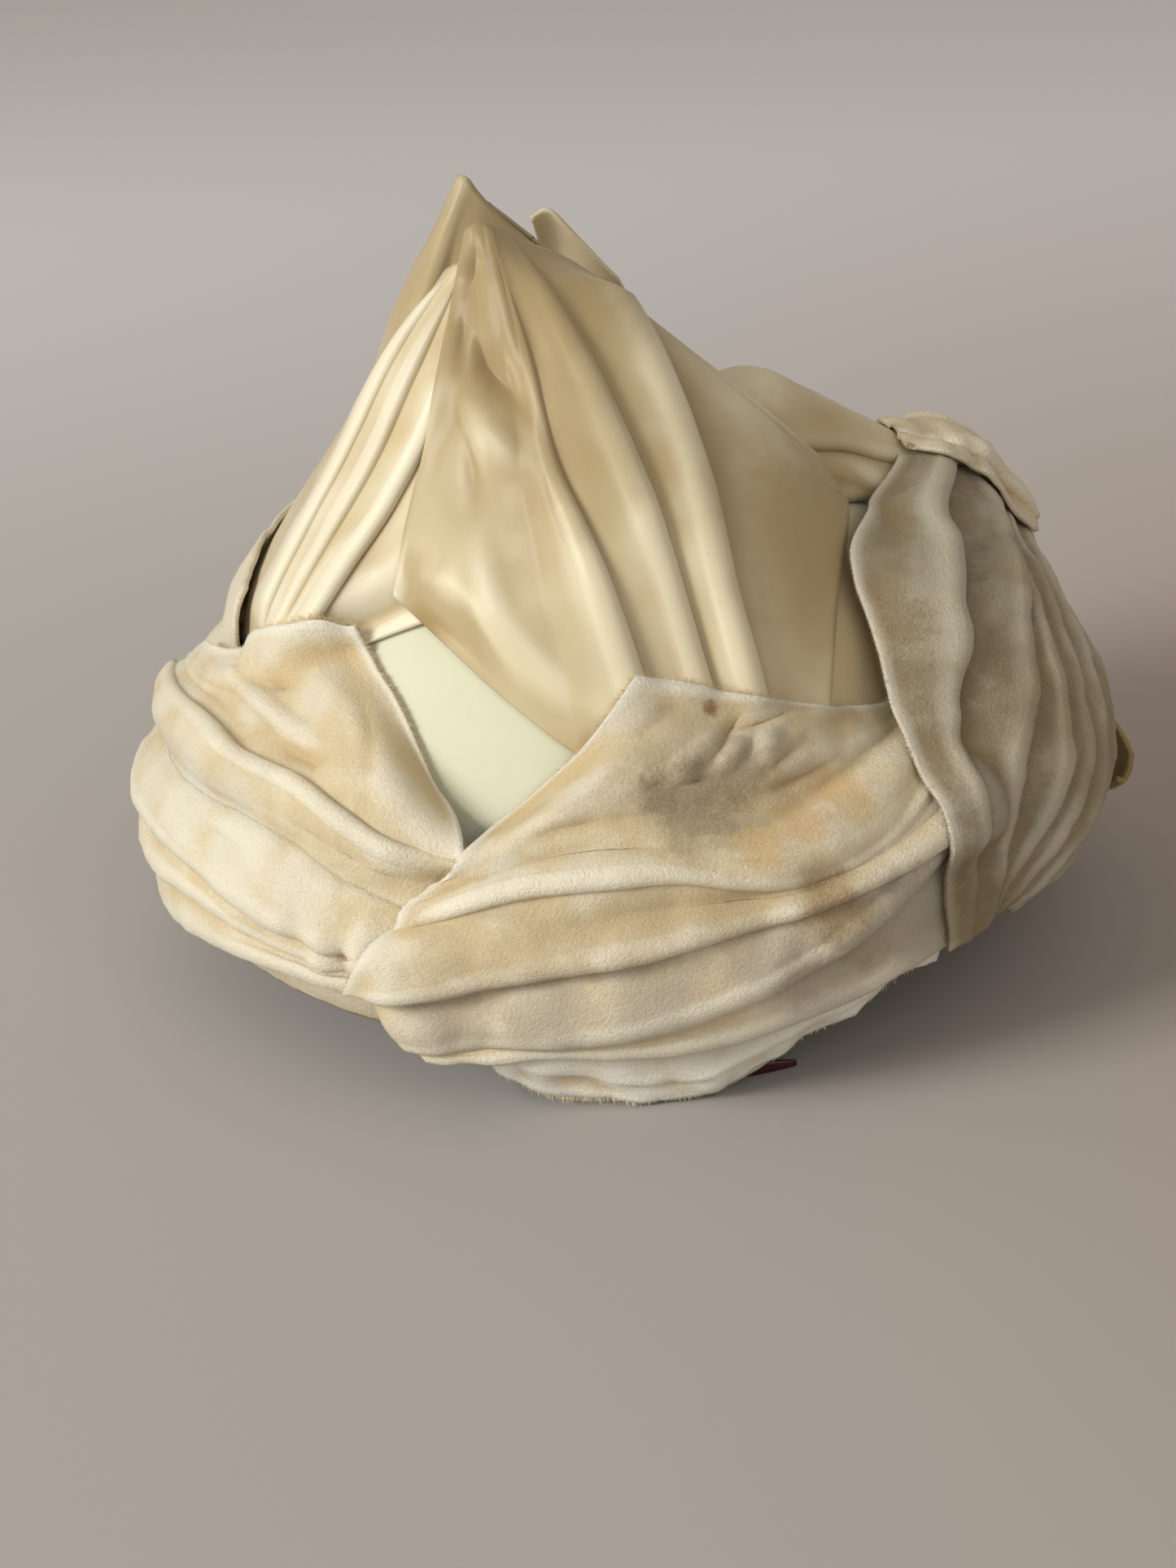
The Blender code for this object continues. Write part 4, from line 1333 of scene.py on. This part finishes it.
@dataclass(frozen=True)
class SatinPetals(Draping):
    """The pointed satin leaves that rise to the peak, and the drape that runs to the knot."""

    drape: Folds = (
        fold(1.5, (28, -36, 106), (43, -27, 102.5), (52, -18, 100), (60, -12, 97.5), (68, -6, 94.5)),
        fold(2.5, (26, -23, 112), (40, -15, 111), (51, -7, 108), (60, -3, 104), (68.5, 0, 100.5)),
        fold(0, (16, -4, 118), (33, -1, 124), (46, 2, 118), (57, 4, 111), (68, 5, 103.5)),
        fold(0, (10, 26, 114), (28, 26, 112), (44, 24, 108), (56, 19, 104), (67, 14, 100)),
    )
    rear: Folds = (
        fold(2, (74, 38, 66), (54, 44, 86), (36, 48, 98), (21, 50, 112), (9, 50, 130)),
        fold(3, (58, 62, 66), (47, 61, 84), (34, 58, 99), (19, 55, 116), (4, 51.5, 137)),
        fold(3, (30, 79, 66), (27, 74, 88), (20, 66, 107), (9, 59, 126), (-1, 52, 143)),
        fold(2, (0, 84, 66), (0, 78, 90), (-2, 70, 110), (-4, 61, 129), (-5, 52, 146)),
        fold(0, (-28, 78, 68), (-25, 73, 88), (-19, 66, 108), (-13, 58, 127), (-8, 51, 145)),
    )
    back: Folds = (
        fold(1.5, (10, 84, 67), (4, 70, 92), (2, 54, 112), (4, 40, 128), (5, 28, 137)),
        fold(3, (-22, 82, 67), (-22, 72, 90), (-18, 58, 112), (-13, 41, 134), (-9, 26, 150)),
        fold(3, (-50, 68, 68), (-44, 62, 90), (-35, 52, 112), (-26, 38, 137), (-17.5, 26, 158)),
        fold(2, (-70, 42, 70), (-60, 40, 92), (-47, 34, 113), (-34, 28, 138), (-21.5, 25, 161)),
        fold(0, (-79, 15, 71), (-66, 15, 95), (-50, 14, 116), (-37, 13, 143), (-22.8, 20.5, 164.6)),
        fold(0, (-74, -18, 80), (-61, -17, 102), (-47, -13, 122), (-33.5, -2, 143), (-21.4, 17, 165.6)),
        fold(0, (-60, -20, 92), (-50, -18, 110), (-39, -13, 127), (-27.5, -2, 144), (-16.5, 15, 158.5)),
        fold(0, (-48, -20, 100), (-40, -17, 115), (-31, -11, 130), (-21, -1, 142), (-9, 16, 150.5)),
        fold(0, (-36, -18, 106), (-30, -14, 118), (-22, -8, 130), (-14, 3, 138), (0, 19, 139.5)),
    )
    rear_turn: Folds = (
        fold(0, (-6, 60, 128), (-6.5, 54, 136), (-7.5, 48, 144), (-8.8, 42, 151.6)),
        fold(0, (-1, 59.5, 127), (-2, 54, 136), (-3.2, 48, 145), (-4.7, 42.8, 152.8)),
        fold(0, (7, 58, 122), (5.2, 53, 130), (2.8, 48, 139), (0.5, 43.5, 146.6)),
        fold(0, (16, 55, 114), (14, 52, 121), (11.6, 48.5, 129), (9.2, 45, 135.8)),
    )
    back_dents: Dents = dents(
        (0.84, 5.5, 12, 2.6, -6, -1.8), (0.66, 5, 16, 2.5, 6, 1.2), (0.5, 5.6, 14, 3, 0, -1.2),
    )
    left: Folds = (
        fold(1, (-24, -60, 97), (-25, -52, 107), (-25, -42, 120), (-22, -29, 138), (-20, -16, 153)),
        fold(3.5, (-66, -43, 80), (-51, -43, 100), (-40, -39, 113), (-29, -32, 131), (-21, -17, 154)),
        fold(3, (-70, -39, 80), (-56, -37, 102), (-44, -32, 119), (-34, -26, 136), (-22.3, -18, 154)),
        fold(3, (-75, -31, 79), (-61, -30, 102), (-49, -25, 120), (-36, -21, 140), (-23.5, -17, 154)),
        fold(0, (-80, -12, 74), (-70, -9, 92), (-57, -10, 112), (-43, -16, 131), (-25, -15, 153)),
        fold(0, (-81, 10, 71), (-73, 11, 87), (-60, 7, 106), (-45, -6, 127), (-26, -12, 152)),
    )
    front: Folds = (
        fold(2, (38, -71, 62), (43, -53, 88), (48, -34, 101), (47.5, -23, 106), (43, -17, 109)),
        fold(5, (29, -76, 62), (22, -59, 96), (18.5, -41, 116), (11, -21, 137), (4, -8.5, 146.5)),
        fold(5.5, (19.5, -78, 62), (11, -60, 100), (4.5, -44, 121), (-4, -28, 141), (-13, -15, 158),
             last=0.92),
        fold(5, (7.5, -80, 62), (-1.5, -64.5, 99), (-8.5, -48, 119), (-12, -32.5, 139), (-17, -17, 161),
             last=0.58),
        fold(0, (-7, -79, 71), (-11.5, -64, 99), (-14.5, -47, 120), (-16, -31.5, 140), (-18.4, -17.3, 161.8)),
        fold(0, (-21, -72, 82), (-22, -62, 99), (-20.5, -46, 120), (-20, -30, 141), (-19.6, -17.6, 162)),
        fold(0, (-31, -64, 90.5), (-30, -55.5, 105), (-26, -41.5, 123), (-23.6, -28, 142),
             (-20.6, -18, 161.5)),
        fold(0, (-41, -53, 98), (-37.5, -48, 110), (-31.5, -36.5, 127), (-26.5, -26, 145),
             (-21.5, -18, 160.5)),
    )
    front_dents: Dents = dents(
        (0.69, 4.4, 10, 4, 48, -3), (0.55, 4.8, 9, 4.5, 42, 2), (0.44, 5.8, 9, 6, 0, -1.4),
        (0.24, 5, 16, 5, 14, 1.2), (0.8, 2.6, 12, 3, 0, -1),
    )

    def sheets(self) -> tuple[Sheet, ...]:
        """The drape and then the petals, from the back to the front."""
        return (
            Sheet(
                "right_drape", self.drape, SHADY_SATIN, Cut(95, 75, 4000), Held.DRAPED, "crown",
                seed=1.0, laid_sides=(Side.FIRST,), stations=56,
            ),
            Sheet(
                "back_petal", self.back, SHADY_SATIN, Cut(165, 130, 16800), Held.DRAPED, "crown",
                seed=2.0, laid_sides=(Side.START,), flat_ends=(Side.END,), dents=self.back_dents,
            ),
            Sheet(
                "rear_petal", self.rear, SATIN, Cut(125, 110, 9000), Held.DRAPED, "crown",
                seed=3.0, laid_sides=(Side.START,), flat_ends=(Side.END,),
            ),
            Sheet(
                "rear_petal_turn", self.rear_turn, SATIN, Cut(35, 24, 600), Held.FOLDED, "back_petal",
                seed=3.5, stations=24, loose=True, replaced="rear_petal",
            ),
            Sheet(
                "left_petal", self.left, SATIN, Cut(120, 110, 8800), Held.DRAPED, "crown",
                seed=4.0, laid_sides=(Side.FIRST, Side.START), flat_ends=(Side.END,),
            ),
            Sheet(
                "front_petal", self.front, SHADY_SATIN, Cut(125, 120, 13200), Held.DRAPED, "crown",
                seed=5.0, laid_sides=(Side.FIRST, Side.LAST, Side.START), dents=self.front_dents,
                stations=90, flat_ends=(Side.END,),
            ),
        )


@dataclass(frozen=True)
class Puckers:
    """Small uneven dents and swells along a strip, drawn from ranges."""

    count: int = 30
    seed: int = 6
    share: tuple[float, float] = (0.03, 0.97)
    fold: tuple[float, float] = (0.0, 0.9)
    long: tuple[float, float] = (1.6, 4.0)
    wide: tuple[float, float] = (2.5, 6.0)
    lean: tuple[float, float] = (-40.0, 40.0)
    rise: tuple[float, float] = (0.5, 1.5)

    def drawn(self) -> Dents:
        """Draw them, in turn up and down."""
        chance = random.Random(self.seed)
        made: list[Dent] = []
        for number in range(self.count):
            rise = chance.uniform(*self.rise) * (-1) ** number
            ranges = (self.share, self.fold, self.long, self.wide, self.lean)
            made.append(Dent(*(chance.uniform(*limits) for limits in ranges), rise))
        return tuple(made)


@dataclass(frozen=True)
class VelvetBands(Draping):
    """The velvet folds that wrap the foot of the hat all round."""

    hem: Folds = (
        fold(0, (-27, 19, -5), (-20, 12, -2), (-12, 3.5, -0.5), (0, 1.6, -0.5), (8, 2.2, -0.5), (14, 6.5, -1),
             (22, 12, -2), (33, 18, -3), (45, 23, -6)),
        fold(1.5, (-27, 23, -3), (-20, 18, -2), (-12, 11.5, -1), (0, 8, -1), (8, 9, -1), (14, 13, -1),
             (22, 18, -1), (33, 23, -2), (45, 28, -4)),
        fold(0, (-27, 28, -5), (-20, 25.5, -6), (-11, 23, -6), (0, 22, -6), (8, 23, -6), (14, 26, -6),
             (22, 30, -5), (33, 34, -5), (45, 40, -6)),
    )
    front: Folds = (
        fold(3.5, (-25.5, 19, -2), (-12, 18, 0), (6, 19.5, 0.5), (24, 25.5, 0.5), (43, 33, -1)),
        fold(5, (-27.5, 22, -1), (-14, 22, 1), (4, 27, 2), (22, 38, 2), (43, 52, 0)),
        fold(0, (-30, 27, 0), (-15, 31, 2.5), (5, 38, 3.5), (24, 48, 2.5), (43, 58, -1)),
        fold(0, (-32, 32, -4), (-13, 43, -4), (6, 49, -4), (25, 57, -5), (43, 63, -6)),
    )
    back: Folds = (
        fold(0, (-106, 20, -9), (-141, 7, -6), (-180, 2.2, -1), (-219, 7, -6), (-262, 26, -11)),
        fold(3, (-106, 27, -2), (-141, 20, -1), (-180, 17, 0), (-219, 20, -1), (-262, 32, -6)),
        fold(3, (-106, 42, -2), (-141, 37, 0), (-180, 35, 0), (-219, 38, 0), (-262, 44, -5)),
        fold(0, (-106, 56, -3), (-141, 55, 0), (-180, 54, 0), (-219, 55, 0), (-262, 56, -6)),
        fold(0, (-106, 66, -9), (-141, 70, -8), (-180, 71, -8), (-219, 70, -8), (-262, 66, -10)),
    )
    left: Folds = (
        fold(0, (-24, 15, -5), (-45, 18, -6), (-62, 18.5, -7), (-85, 19, -8), (-112, 19, -8)),
        fold(3, (-24, 26, -3), (-45, 31, -1), (-61, 30, -1), (-85, 25, -2), (-112, 25, -2)),
        fold(3, (-23, 30, -2), (-45, 36, 0), (-61, 40, 0), (-85, 36, -1), (-112, 35, -1)),
        fold(4, (-23, 34, -2), (-44, 41.5, 1), (-61, 47.5, 1), (-85, 47, 0), (-112, 46, -1)),
        fold(0, (-22, 42, -3), (-43, 52, 1), (-60, 55, 1.5), (-85, 57, -1), (-112, 57, -4)),
        fold(0, (-20, 50, -8), (-42, 60, -10), (-60, 64, -10), (-85, 67, -10), (-112, 67, -9)),
    )
    left_dents: Dents = dents(
        (0.1, 3.2, 2.2, 4, 10, 1.8), (0.13, 2.8, 2, 4, -8, -1.6), (0.16, 2.2, 2.2, 4, 6, 1.4),
        (0.2, 3, 3, 3, 30, -1.2), (0.36, 3.7, 12, 2.5, 12, -1.2), (0.45, 3.3, 14, 2, 4, 0.9),
        (0.5, 1.6, 12, 2.5, -8, -1), (0.62, 2.6, 10, 2, 10, -1),
    )

    def sheets(self) -> tuple[Sheet, ...]:
        """The hem and then the bands."""
        return (
            Sheet(
                "front_hem", self.hem, LIT_HEM, Cut(125, 31), Held.FOLDED, "crown", on_velvet=True,
                seed=6.0, cut_sides=(Side.FIRST,), dents=Puckers().drawn(),
            ),
            Sheet(
                "back_band", self.back, VELVET, Cut(285, 98), Held.FOLDED, "crown", on_velvet=True,
                seed=7.0, stations=110,
            ),
            Sheet(
                "left_band", self.left, VELVET, Cut(165, 92), Held.GATHERED, "crown", on_velvet=True,
                seed=8.0, dents=self.left_dents, stations=90,
            ),
            Sheet(
                "front_band", self.front, VELVET, Cut(140, 55), Held.FOLDED, "front_hem", on_velvet=True,
                seed=9.0,
            ),
        )


@dataclass(frozen=True)
class VelvetLeaves(Draping):
    """The turned velvet leaves over the bands, with their lips and cut pile edges."""

    back_left: Folds = (
        fold(1.5, (-77, 64, -4), (-97, 64, -2), (-117, 64, -1), (-133, 63, -2), (-148, 60, -5)),
        fold(0, (-77, 74, -4), (-96, 75, -1), (-116, 75.5, -0.5), (-132, 73, -1), (-149, 67, -4)),
        fold(0, (-79, 82, -6), (-95, 86, -4), (-114, 86, -3), (-132, 80, -3), (-150, 73, -5)),
    )
    left: Folds = (
        fold(0, (-46, 88.8, 1), (-51.5, 87, 2), (-57, 85, 2), (-63.5, 83.3, 2), (-69.5, 81, 2),
             (-76, 78.5, 2), (-86, 76, 2.5)),
        fold(0, (-39.3, 84.5, 1), (-45.5, 83.6, 2), (-51, 82, 2), (-57.5, 80.4, 2), (-65, 78.6, 2),
             (-74, 75.6, 2), (-88.5, 73, 2.5)),
        fold(0, (-31, 78.2, 1), (-37, 79.2, 2), (-43, 78.6, 2), (-51, 77, 2), (-59, 75.2, 2), (-71, 73.5, 2),
             (-90.5, 71, 2.5)),
        fold(0, (-22, 65.4, 1), (-28, 68, 1.5), (-36, 70, 1.5), (-45, 70.6, 1), (-55, 70.6, 1),
             (-69, 71.4, 1), (-92, 69.3, 2)),
        fold(4.5, (-19, 55.5, 0), (-28, 57.4, 1.5), (-35, 61.6, 2.5), (-43, 65.6, 3), (-54, 67.1, 3.5),
             (-67, 69.4, 4), (-93, 67.4, 4)),
        fold(0, (-20, 50.5, 0), (-30, 54.5, 1.5), (-38, 59.1, 3), (-46, 62.3, 4.5), (-57, 64, 5.5),
             (-70, 66.2, 6), (-94, 65, 5.5)),
        fold(0, (-24, 45.5, 0), (-34, 51, 0.5), (-41, 55.7, 0.5), (-51, 58.4, 0.5), (-65, 59.5, 0.5),
             (-82, 61, 1), (-96, 61.5, 3)),
    )
    front: Folds = (
        fold(2.5, (-33, 32, 0.5), (-23, 34.5, 1), (-14, 37, 2), (-6, 39.5, 2), (2, 41, 2), (11, 43, 2),
             (19, 44.5, 2), (28, 47.5, 1), (42, 51, -2)),
        fold(0, (-30.5, 37.5, 1), (-21, 41.5, 2), (-13, 45, 2), (-4, 46.5, 2), (4, 47, 2), (12, 46.8, 2),
             (20, 47.4, 2), (29, 50.7, 1), (42, 56, -2)),
        fold(3.5, (-27, 43, 1), (-18, 49, 2), (-11, 52.5, 2.5), (-3, 53.5, 2.5), (5, 53.5, 3), (13, 51, 4),
             (21, 50.5, 4), (29, 53.5, 3), (42, 60, -1)),
        fold(0, (-26, 46.5, -0.5), (-17, 52.5, 0), (-10, 56, 0), (-2, 57, 0), (6, 56.5, 1.5), (14, 54.5, 4.5),
             (21.5, 54.5, 5.5), (30, 57.5, 4), (42, 62, -1)),
        fold(0, (-23, 51, 0), (-14.5, 57, 0.5), (-7.5, 59.5, 0.5), (0, 60.5, 0), (8, 60, 0), (15, 58.5, 2.5),
             (22, 58.5, 3.5), (30, 61, 2.5), (42, 64.5, -1)),
        fold(0, (-19, 57, 0.5), (-12, 61.5, 1), (-5, 63.5, 0.5), (2, 64, 0), (9, 63, -1), (16, 61.5, -1.5),
             (23, 62, -2), (31, 64, -1.5), (42, 67, -2)),
        fold(0, (-13, 65, 1), (-6, 67.5, 1.5), (0, 69.5, 1.5), (7, 70, 1), (13, 70, 0.5), (19, 69, 0.5),
             (26, 68, 0), (33, 68, -0.5), (42, 69.5, -2)),
        fold(0, (-4, 75, 1), (2, 76, 1.5), (7, 76.5, 1.5), (13, 76, 1), (18, 75, 1), (23, 74, 1),
             (29, 72, 0.5), (35, 71, 0), (42, 71, -2)),
        fold(0, (3, 82, 1), (8, 81.5, 1), (13, 80.5, 1), (18, 79, 1), (23, 77, 1), (28, 75, 1), (32, 73.5, 0),
             (37, 72, -1), (42, 72, -2)),
    )
    right: Folds = (
        fold(1.5, (52, 25, -3), (60, 27, -1), (68, 31, 0), (75, 37, 1), (82, 46, 1), (88, 56, 0),
             (95, 65, -1), (101, 73, -1), (104, 80, 2)),
        fold(3, (48, 28.5, 0), (54, 33, 1), (60, 39, 2), (64.5, 46.5, 2), (68, 55, 1), (72.5, 64, 0.5),
             (79, 72.5, 0), (89, 78.5, 0), (99, 83, 3)),
        fold(4, (45.5, 29, 1), (49.5, 36, 2), (55, 42, 2), (59.5, 49.5, 2), (62.5, 59, 1.5), (67, 70, 1.5),
             (74.5, 78, 1), (86, 83.5, 1), (96, 88, 4)),
        fold(4.5, (43.5, 29, 2), (46.5, 38.5, 2), (51, 45, 2), (54.6, 52.5, 2.5), (58.2, 61.5, 3),
             (62.5, 73, 3), (69.5, 82, 3), (82, 88, 3.5), (94, 92.5, 6.5)),
        fold(5, (41.5, 29, 2), (43.5, 39, 2), (45.8, 48, 2.5), (48.6, 56.6, 2.5), (55.5, 67.5, 3),
             (62, 79, 3), (71, 86, 3.5), (80, 90, 4.5), (92, 96, 8.5)),
        fold(4, (38.5, 28.5, 2), (39.5, 40, 1.6), (40.6, 51, 1.6), (42, 61, 1.8), (45.5, 70, 2.2),
             (51, 78, 2.8), (56, 86, 2.6), (68.5, 94.5, 1), (88, 100.5, 12.5), first=0.5),
        fold(0, (36.5, 28, 1), (35.5, 41, 1), (36, 53, 1), (37, 63, 1), (39, 73, 1), (43, 82.5, 0.5),
             (49.5, 94, -1), (67, 98, -5), (86, 103.5, 10)),
    )
    tip: Folds = (
        fold(2, (122, 10, -5), (114, 11, -1), (106, 14, 2), (97, 19.5, 6), (88, 27, 9.5)),
        fold(0, (122, 30, -3), (114, 31, 2), (106, 31.5, 4), (97, 31, 7), (88, 29.5, 10.5)),
        fold(0, (122, 51, -5), (114, 48.5, -1), (106, 44, 2), (97, 38, 6), (88, 32.5, 10)),
    )
    knot: Folds = (
        fold(0, (66, -2, 101.5), (71, -3, 100), (76.4, -3, 98), (81.5, -1, 93.5), (86, 1, 87.5),
             (89.5, 5, 82)),
        fold(2.5, (65, 0.5, 103.5), (71, 1, 104.3), (77.5, 2, 102.5), (83, 4, 98.5), (88.5, 7, 91.5),
             (93, 11, 83.5)),
        fold(0, (64, 5, 105), (70, 7, 107.6), (77, 8, 106), (83.5, 10.5, 100), (89.5, 12.5, 92),
             (93.5, 15, 83)),
        fold(2, (64, 12, 102.5), (70, 15, 105), (78, 16, 102.5), (85, 17, 96), (90, 19, 88), (93, 21, 80)),
        fold(0, (64, 20, 98), (70, 24, 99), (77, 24, 96), (84, 25, 89), (88, 26, 81), (91, 27, 73)),
    )
    knot_dents: Dents = dents(
        (0.3, 0.6, 2, 5, 20, -1.4), (0.52, 0.7, 2.2, 5, -15, 1.2), (0.72, 0.6, 3, 4, 25, -1.6),
        (0.86, 1, 3, 3, 0, 1.2),
    )
    left_dents: Dents = dents(
        (0.55, 1.4, 9, 3.6, 8, -3.6), (0.58, 2.3, 12, 2.2, -28, 3), (0.5, 3.1, 7, 2.4, 0, -3.2),
        (0.75, 1.3, 12, 3, 0, 1.6), (0.25, 2.5, 7, 3, 60, -1),
    )
    front_dents: Dents = dents(
        (0.4, 6.2, 5, 3, 20, 1.8), (0.46, 6.7, 3.5, 2.2, -40, -1.8), (0.52, 6.1, 4, 2.4, 60, 1.8),
        (0.55, 6.9, 4.5, 2, 10, -1.5), (0.6, 6.3, 4, 2.6, -30, 1.4), (0.47, 5.6, 6, 1.6, 5, -1.4),
        (0.66, 6, 5, 2, 25, -1.2), (0.36, 5.7, 4, 2, -20, -1.2), (0.71, 5.4, 7, 2, 8, -1.6),
        (0.74, 4.6, 12, 2.6, 10, -2), (0.12, 5, 14, 3.5, 12, 1), (0.3, 4.6, 14, 3, -8, -0.9),
        (0.25, 1, 18, 3.5, 6, 0.8), (0.55, 1, 16, 3, -5, -0.8),
    )

    def sheets(self) -> tuple[Sheet, ...]:
        """The leaves, and the knot last."""
        return (
            Sheet(
                "back_left_leaf", self.back_left, VELVET, Cut(120, 33), Held.DRAPED, "back_band",
                on_velvet=True, seed=10.0, laid_sides=(Side.LAST, Side.START),
            ),
            Sheet(
                "left_leaf", self.left, VELVET, Cut(125, 50, 5200), Held.FOLDED, "left_band",
                on_velvet=True, seed=11.0, cut_sides=(Side.START, Side.FIRST), laid_sides=(Side.START,),
                flat_ends=(Side.START,), dents=self.left_dents,
            ),
            Sheet(
                "front_leaf", self.front, VELVET, Cut(135, 75, 7500), Held.FOLDED, "front_band",
                on_velvet=True, seed=12.0, laid_sides=(Side.LAST, Side.START),
                cut_sides=(Side.LAST, Side.START), flat_ends=(Side.START,), dents=self.front_dents,
                stations=84,
            ),
            Sheet(
                "right_leaf", self.right, SHADED, Cut(150, 120, 14500), Held.GATHERED, "front_band",
                on_velvet=True, seed=13.0, cut_sides=(Side.LAST,), stations=96,
            ),
            Sheet(
                "right_tip", self.tip, SHADED_BROWN, Cut(65, 50, 2450), Held.FOLDED, "back_band",
                on_velvet=True, seed=14.0,
            ),
            Sheet(
                "knot", self.knot, KNOTTED, Cut(55, 44), Held.GATHERED, "right_leaf", seed=15.0, stations=40,
                laid_sides=(Side.FIRST, Side.LAST, Side.START), flat_ends=(Side.START,),
                dents=self.knot_dents,
            ),
        )


@dataclass(frozen=True)
class RibbonEnd:
    """The dark red ribbon end that shows under the rim."""

    turns: tuple[float, float] = (5.0, 21.0)
    heights: tuple[float, float] = (6.0, 1.2)
    inside: float = 3.2
    rise: float = 0.4
    wall: float = 0.6
    parts: int = 12
    rows: int = 3
    map_width: float = 0.3
    cut: Cut = Cut(24, 10, 86.4)

    def placed(self, point: Vector) -> Vector:
        """The place inside the rim of a point on the flat grid."""
        share = 0.5 * (point.x + 1.0)
        up = 0.5 * (point.y + 1.0)
        turn = math.radians(self.turns[0] + (self.turns[1] - self.turns[0]) * share)
        height = self.heights[0] + (self.heights[1] - self.heights[0]) * share
        across = (FORM.half_width - self.inside) * math.sin(turn)
        ahead = -(FORM.half_depth - self.inside) * math.cos(turn)
        return Vector((across, ahead, self.rise + height * up))

    def build(self, loom: Loom) -> None:
        """Bend a tapered strip along the inside of the rim."""
        work = bmesh.new()
        bmesh.ops.create_grid(work, x_segments=self.parts, y_segments=self.rows, size=1.0)
        lay_flat(work, lambda vertex: (vertex.co.x, self.map_width * vertex.co.y))
        for vertex in work.verts:
            vertex.co = self.placed(vertex.co) * MM
        bmesh.ops.recalc_face_normals(work, faces=work.faces[:])
        piece = loom.add("ribbon_end_strip", work, RibbonFinish("wine ribbon"))
        thicken(piece, self.wall, 0.0)
        loom.keep(piece, Slot.RIBBON, "ribbon_end")
        LOG.info("ribbon end")


class Lamp(NamedTuple):
    """A square lamp: its place and size in metres, its power in watts and its colour."""

    name: str
    place: Place
    size: float
    power: float
    colour: Colour


@dataclass(frozen=True)
class Studio:
    """The camera, the lights and the floor."""

    elevation: float = 22.0
    distance: float = 600.0
    roll: float = 4.7
    aim: Place = (-6.5, 0.0, 34.0)
    lens: float = 62.27
    sensor: float = 36.0
    nearest: float = 0.01
    floor_half: float = 3.0
    floor_gap: float = 0.1
    sky: Colour = (1.0, 0.90, 0.76)
    sky_strength: float = 0.37
    lit_place: Place = (0.0, 0.0, 0.06)
    lamps: tuple[Lamp, ...] = (
        Lamp("key", (-2.30, -1.15, 1.35), 1.15, 69.0, (1.0, 0.98, 0.92)),
        Lamp("fill", (0.6, -2.2, 1.4), 1.6, 12.5, (0.95, 0.95, 0.97)),
    )

    def camera(self) -> None:
        """Stand the camera where the photograph was taken from."""
        lift = math.radians(self.elevation)
        back = Vector((0.0, -math.cos(lift), math.sin(lift)))
        level = Vector((1.0, 0.0, 0.0))
        up = Vector((0.0, math.sin(lift), math.cos(lift)))
        roll = math.radians(self.roll)
        right = level * math.cos(roll) - up * math.sin(roll)
        top = level * math.sin(roll) + up * math.cos(roll)
        view = bpy.data.cameras.new("camera")
        view.lens = self.lens
        view.sensor_width = self.sensor
        view.clip_start = self.nearest
        camera = bpy.data.objects.new("camera", view)
        bpy.context.scene.collection.objects.link(camera)
        place = (Vector(self.aim) + back * self.distance) * MM
        camera.matrix_world = Matrix.Translation(place) @ Matrix((right, top, back)).transposed().to_4x4()
        bpy.context.scene.camera = camera

    def light(self) -> None:
        """Hang the lamps and set the sky."""
        for name, place, size, power, colour in self.lamps:
            lamp = bpy.data.lights.new(name, "AREA")
            lamp.size = size
            lamp.energy = power
            lamp.color = colour
            hung = bpy.data.objects.new(name, lamp)
            bpy.context.scene.collection.objects.link(hung)
            hung.location = place
            way = Vector(self.lit_place) - Vector(place)
            hung.rotation_euler = way.to_track_quat("-Z", "Y").to_euler()
        world = bpy.data.worlds.new("soft sky")
        world.use_nodes = True
        sky = world.node_tree.nodes["Background"]
        sky.inputs["Color"].default_value = (*self.sky, 1.0)
        sky.inputs["Strength"].default_value = self.sky_strength
        bpy.context.scene.world = world
        bpy.context.scene.view_settings.view_transform = "Standard"

    def floor(self, loom: Loom) -> None:
        """Lay the pale floor just under the rim."""
        work = bmesh.new()
        bmesh.ops.create_grid(work, x_segments=1, y_segments=1, size=self.floor_half)
        bmesh.ops.translate(work, verts=work.verts[:], vec=(0.0, 0.0, -self.floor_gap * MM))
        piece = loom.add("floor", work, FloorFinish("pale paper"))

    def build(self, loom: Loom) -> None:
        """Set up the studio."""
        self.camera()
        self.light()
        self.floor(loom)


def main() -> None:
    """Load the frame and dress the hat from the crown outwards."""
    logging.basicConfig(level=logging.INFO, format="%(name)s: %(message)s")
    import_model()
    loom = Loom()
    Studio().build(loom)
    Crown().build(loom)
    SatinPetals().build(loom)
    VelvetBands().build(loom)
    VelvetLeaves().build(loom)
    RibbonEnd().build(loom)


if __name__ == "__main__":
    main()
